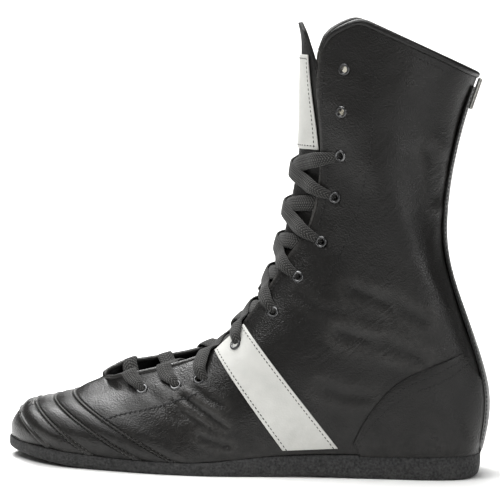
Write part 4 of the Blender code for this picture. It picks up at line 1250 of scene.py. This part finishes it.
def buildTongue():
    first, last, crown = tongueLook["first"], tongueLook["last"], tongueLook["crown"]

    def place(a, b):
        across = 2.0 * b - 1.0
        u = first + (last - first) * (1.0 - (1.0 - a) ** 1.25)
        return tonguePoint(u, across * tongueHalf(u), crown * (np.cos(across * pi / 2.0) - 1.0))[0]

    bm = bmesh.new()
    mappedGrid(bm, 150, 40, place)
    tongue = addSheet(bm, "tongueLeather", [blackLeather, liningCloth], "black_leather", ["tongue"])
    addWall(tongue, tongueLook["thick"], outward=False, inner=1)
    addRoundEdge(tongue, tongueLook["roundEdge"])
    u = np.linspace(tongueLook["rowStart"], last - 0.15, 90)
    for side in sideNames.values():
        y = side * np.maximum(tongueHalf(u) - tongueLook["rowInset"], 1.0)
        stitchRow(*tonguePoint(u, y, seamLook["rowLift"] - crown))


def patchPoint(a, b, lift):     # a runs up the patch, b across it
    half = patchLook["lowHalf"] + a * (patchLook["highHalf"] - patchLook["lowHalf"])
    z = patchLook["lowZ"] + a * (patchLook["highZ"] - patchLook["lowZ"])
    y = (2.0 * b - 1.0) * half
    return frontSkin(frontSection(z, np.abs(y)), y, lift)


def buildPatch():
    def place(a, b):
        return patchPoint(a, b, patchLook["lift"])[0]

    bm = bmesh.new()
    mappedGrid(bm, 40, 30, place)
    addOverlay(bm, "tonguePatch", whiteLeather, "white_leather", "tongue_patch", patchLook)
    inA = patchLook["inset"] / (patchLook["highZ"] - patchLook["lowZ"])
    inB = patchLook["inset"] / (2.0 * patchLook["lowHalf"])
    run = np.linspace(0.0, 1.0, 60)
    still = np.ones_like(run)
    upward, sideways = inA + run * (1.0 - 2.0 * inA), inB + run * (1.0 - 2.0 * inB)
    a = np.concatenate([inA * still, upward, (1.0 - inA) * still, upward[::-1]])
    b = np.concatenate([sideways, (1.0 - inB) * still, sideways[::-1], inB * still])
    stitchRow(*patchPoint(a, b, patchLook["lift"] + patchLook["thick"] + seamLook["rowLift"]))


buildTongue()
buildPatch()
print("tongue ready")


# side bands, heel counters, backstay and pull tab

bandLook = {"front": ((23.5, 16.5), (-18.5, 71.0)), "rear": ((56.5, 18.5), (-1.5, 88.0)), "lift": 0.25,
            "thick": 1.1, "inset": 0.075, "roundEdge": 0.3, "foldShare": 0.4, "wear": 0.10, "wearReach": 0.15}
counterLook = {"edge": [(64.5, 18.5), (70.0, 32.0), (78.0, 45.0), (93.0, 60.0), (114.0, 70.5), (128.0, 77.0)],
               "lift": 0.3, "thick": 1.1, "foot": 0.975, "smoothing": 12, "roundEdge": 0.4, "start": 0.18,
               "rows": 60, "columns": 26, "underBackstay": 1.0, "insets": (0.016, 0.036)}
backstayLook = {"half": [(14.05, 19.0), (15.0, 21.0), (16.0, 22.5), (17.0, 21.5), (18.0, 17.5), (20.0, 15.0),
                         (21.7, 15.0)],
                "lift": 0.25, "thick": 1.1, "overCounter": 0.35, "roundEdge": 0.4, "inset": 2.2}
pullLook = {"width": 12.0, "height": 20.0, "depth": 2.2, "webbing": 1.0, "lift": 1.75, "foot": 21.1,
            "top": 21.8, "shorter": 0.6}
overlayRow = 0.02       # height of a stitch row over an overlay
bandTop = bandLook["lift"] + bandLook["thick"]


def bandPoint(share, cross, side, lift):
    lowFront, highFront = np.array(bandLook["front"])
    lowRear, highRear = np.array(bandLook["rear"])
    front = lowFront + share[:, None] * (highFront - lowFront)
    rear = lowRear + share[:, None] * (highRear - lowRear)
    x, z = (front + cross[:, None] * (rear - front)).T
    return sideSkin(x, z, side, lift, bandLook["foldShare"])


def buildBand(name, side):
    def place(a, b):
        return bandPoint(a, b, side, bandLook["lift"])[0]

    bm = bmesh.new()
    wearLayer = bm.verts.layers.float.new("wear")
    verts, ab = mappedGrid(bm, 60, 18, place)
    for vert, share in zip(verts, ab[:, 0]):
        vert[wearLayer] = bandLook["wear"] * max(0.0, 1.0 - share / bandLook["wearReach"])
    addOverlay(bm, "sideBand" + name.capitalize(), whiteLeather, "white_leather", "side_band_" + name,
               bandLook)
    run = np.linspace(0.01, 0.985, 120)
    for cross in (bandLook["inset"], 1.0 - bandLook["inset"]):
        stitchRow(*bandPoint(run, np.full(run.shape, cross), side, bandTop + overlayRow))


def counterEdge(side, places):
    x, z = curvePoint(naturalCurve(counterLook["edge"]), places).T
    return locate(x, z, side)


def buildCounter(name, side):
    rows, columns = counterLook["rows"], counterLook["columns"]
    places = np.linspace(counterLook["start"], len(counterLook["edge"]) - 1.0, rows)
    u, high = counterEdge(side, places)
    low = np.minimum(counterLook["foot"], tAtBack(u, backstayHalf(u) - counterLook["underBackstay"]))

    def place(a, b):
        i = stepAt(a, rows)
        return skin(u[i], high[i] + b * (low[i] - high[i]), side, counterLook["lift"])

    bm = bmesh.new()
    mappedGrid(bm, rows - 1, columns, place)
    inner = [vert for vert in bm.verts if not vert.is_boundary]
    for _ in range(counterLook["smoothing"]):
        bmesh.ops.smooth_vert(bm, verts=inner, factor=0.5, use_axis_x=True, use_axis_y=True, use_axis_z=True)
    addOverlay(bm, "heelCounter" + name.capitalize(), blackLeather, "black_leather", "heel_counter_" + name,
               counterLook)
    u, high = counterEdge(side, places[1:])
    top = counterLook["lift"] + counterLook["thick"] + overlayRow
    for inset in counterLook["insets"]:
        stitchRow(skin(u, high + inset, side, top), lastNormal(u, high + inset, side))


def backstayHalf(u):
    return tableAt(backstayLook["half"], u)


def backstayPoint(u, y, lift):
    side = np.where(y < 0.0, lateral, medial)
    t = tAtBack(u, np.abs(y))
    return skin(u, t, side, lift), lastNormal(u, t, side)


def footSection(half):      # section whose feather line is this wide, round the back of the heel
    u = np.linspace(heelSeat - 2.0, heelSeat, 200)
    return np.interp(-np.abs(half), -sectionAt(u)[:, 6], u)


def buildBackstay():
    low, high = backstayLook["half"][0][0], backstayLook["half"][-1][0]

    def place(a, b):
        across = 2.0 * b - 1.0
        foot = footSection(across * backstayHalf(low))
        u = foot + a * (high - foot)
        over = backstayLook["overCounter"] * np.clip(a / 0.06, 0.0, 1.0)
        return backstayPoint(u, across * backstayHalf(u), backstayLook["lift"] + over)[0]

    bm = bmesh.new()
    mappedGrid(bm, 120, 18, place)
    addOverlay(bm, "backstayStrip", blackLeather, "black_leather", "backstay", backstayLook)
    u = np.linspace(low + 0.25, high - 0.1, 200)
    top = backstayLook["lift"] + backstayLook["overCounter"] + backstayLook["thick"] + overlayRow
    for side in sideNames.values():
        stitchRow(*backstayPoint(u, side * (backstayHalf(u) - backstayLook["inset"]), top))


def buildPullTab():
    top, foot = [skin(pullLook[end], 1.0, lateral, pullLook["lift"]) for end in ("top", "foot")]
    up = unit(top - foot)
    back = np.array([up[2], 0.0, -up[0]])
    height, radius = pullLook["height"], (pullLook["depth"] - pullLook["webbing"]) / 2.0
    centre = foot + up * height / 2.0 + back * pullLook["depth"] / 2.0
    turn = np.linspace(0.0, 2.0 * pi, 48, endpoint=False)
    stretch = np.sign(np.sin(turn)) * (height / 2.0 - radius - pullLook["shorter"])
    out = np.outer(np.cos(turn), back) + np.outer(np.sin(turn), up)
    path = centre + radius * out + np.outer(stretch, up)
    bm = bmesh.new()
    sweep(bm, path, out, pullLook["width"], pullLook["webbing"], ring=12, power=0.6, closed=True)
    addClosed(bm, "pullTab", [webbingCloth], "white_leather", ["pull_tab"])


for sideName, sideSign in sideNames.items():
    buildBand(sideName, sideSign)
    buildCounter(sideName, sideSign)
buildBackstay()
buildPullTab()
print("overlays ready")


# eyelets: one turned ring, laid at every hole

eyeletLook = {
    "steps": 24, "stand": 0.05,
    "throughBand": (4,),        # eyelets that go through the side band
    # radius, height
    "profile": [(1.95, -1.7), (1.95, 0.2), (2.15, 0.62), (2.6, 0.86), (3.1, 0.80), (3.5, 0.45), (3.6, 0.05)],
}


def buildEyelets():
    ring = bmesh.new()
    profile = [ring.verts.new((r * mm, 0.0, z * mm)) for r, z in eyeletLook["profile"]]
    edges = [ring.edges.new(pair) for pair in zip(profile, profile[1:])]
    bmesh.ops.spin(ring, geom=profile + edges, axis=(0.0, 0.0, 1.0), cent=(0.0, 0.0, 0.0), angle=2.0 * pi,
                   steps=eyeletLook["steps"], use_merge=True)
    bmesh.ops.remove_doubles(ring, verts=ring.verts, dist=meshLook["weld"])
    bmesh.ops.recalc_face_normals(ring, faces=ring.faces)
    if max(ring.faces, key=lambda f: f.calc_center_median().z).normal.z < 0.0:
        bmesh.ops.reverse_faces(ring, faces=ring.faces)
    moves = []
    for (name, number), (place, normal) in eyeletFrames.items():
        stand = eyeletLook["stand"] + (bandTop if number in eyeletLook["throughBand"] else 0.0)
        turn = Vector(normal).to_track_quat("Z", "Y").to_matrix().to_4x4()
        moves.append(Matrix.Translation(Vector((place + stand * normal) * mm)) @ turn)
    nodes = ["eyelet_%s_%02d" % label for label in eyeletFrames]
    addPiece(stamp(ring, moves), "eyeletRings", [darkMetal], "eyelet_metal", nodes)


buildEyelets()


# laces

strandLook = {
    "width": 9.3, "thick": 1.7, "laced": 9,
    "overFlap": 1.3, "overTongue": -1.6, "underFlap": -3.0, "climb": 8.0, "climbStart": 1.05,
    "cross": 1.8, "crossReach": 7.5,
    "barLift": 0.3,
    "rise": 0.86,           # how far up to the next eyelets a strand goes before it dives
    "diveInset": 3.0,
    # the end that comes up through an eyelet: its share of the strand, its dip, its bulge and its width
    "end": 0.10, "dip": 3.2, "bulge": 0.55, "bulgeRun": 0.05, "narrow": 0.42, "narrowRun": 0.16,
    # height of the eyelets, rise of a strand towards the middle of the throat
    "bow": [(47.0, 4.6), (60.0, 9.5), (100.0, 10.0), (140.0, 8.0), (167.0, 4.0), (192.0, 1.0)],
}


def strandPath(start, end, side, overBoth, overBand, onTop):
    startHalf, startZ = start
    endHalf, endZ = end
    overTongue = strandLook["overTongue"]
    share = np.linspace(0.0, 1.0, 64)
    y = -startHalf + share * (startHalf + endHalf)
    half = np.abs(y)
    level = startZ + share * (endZ - startZ)
    z = level + tableAt(strandLook["bow"], level) * (1.0 - (half / startHalf) ** 2)
    u = frontSection(z, half)
    t = tAtHalf(u, half)
    here = np.where(y < 0.0, side, -side)
    rise = np.clip((half - throatHalf(u)) / strandLook["climb"] + strandLook["climbStart"], 0.0, 1.0)
    rise = rise * rise * (3.0 - 2.0 * rise)
    over = strandLook["overFlap"] + overBand + upperLift(u, t, here)
    onFlap = overTongue + (over - overTongue) * rise
    under = overTongue + (strandLook["underFlap"] - overTongue) * (half / endHalf) ** 2
    lift = np.where((y < 0.0) | overBoth, onFlap, under) + onTop * bell(half, strandLook["crossReach"])
    narrow = np.ones_like(share)
    for run in [share, 1.0 - share] if overBoth else [share]:
        dip = np.clip(1.0 - run / strandLook["end"], 0.0, 1.0) ** 2
        bulge = bell(run - strandLook["end"], strandLook["bulgeRun"])
        lift = lift - strandLook["dip"] * dip + strandLook["bulge"] * bulge
        grown = np.clip(run / strandLook["narrowRun"], 0.0, 1.0) ** 0.8
        narrow = np.minimum(narrow, strandLook["narrow"] + (1.0 - strandLook["narrow"]) * grown)
    return relax(skin(u, t, here, lift), 3), lastNormal(u, t, here), strandLook["width"] * narrow


def diveHalf(z):        # half-width at which a strand goes under the flap
    half = 15.0
    for _ in range(8):
        half = float(throatHalf(frontSection(z, half))) + strandLook["diveInset"]
    return half


def buildLaces():
    eyelets = lastShape["eyelets"]
    ends = [(abs(lastPoint(*locate(x, z, lateral), lateral)[0, 1]), z) for x, z in eyelets]
    strands = [(ends[0], ends[0], lateral, True, strandLook["barLift"], 0.0)]
    for number in range(2, strandLook["laced"]):
        start, end = ends[number - 1], ends[number]
        last = number == strandLook["laced"] - 1
        if not last:
            diveZ = start[1] + strandLook["rise"] * (end[1] - start[1])
            end = (diveHalf(diveZ), diveZ)
        band = bandTop if {number, number + 1} & set(eyeletLook["throughBand"]) else 0.0
        for side in sideNames.values():
            strands.append((start, end, side, last, band, strandLook["cross"] if side == lateral else 0.0))
    bm = bmesh.new()
    for strand in strands:
        path, normals, width = strandPath(*strand)
        sweep(bm, path, normals, width, strandLook["thick"], ring=12, power=0.65,
              uvLength=strandLook["width"])
    nodes = ["lace_bar_01"] + ["lace_crossing_%02d" % number for number in range(2, strandLook["laced"])]
    addClosed(bm, "laceStrands", [laceCloth], "lace_cloth", nodes)


buildLaces()
print("laces ready")


for kind, thread in (("fine", grayThread), ("inked", darkThread), ("heavy", blackThread)):
    ball = bmesh.new()
    bmesh.ops.create_icosphere(ball, subdivisions=1, radius=1.0)
    addPiece(stamp(ball, stitchMarks[kind]), kind + "Stitches", [thread], "lace_cloth")
print("stitches ready")
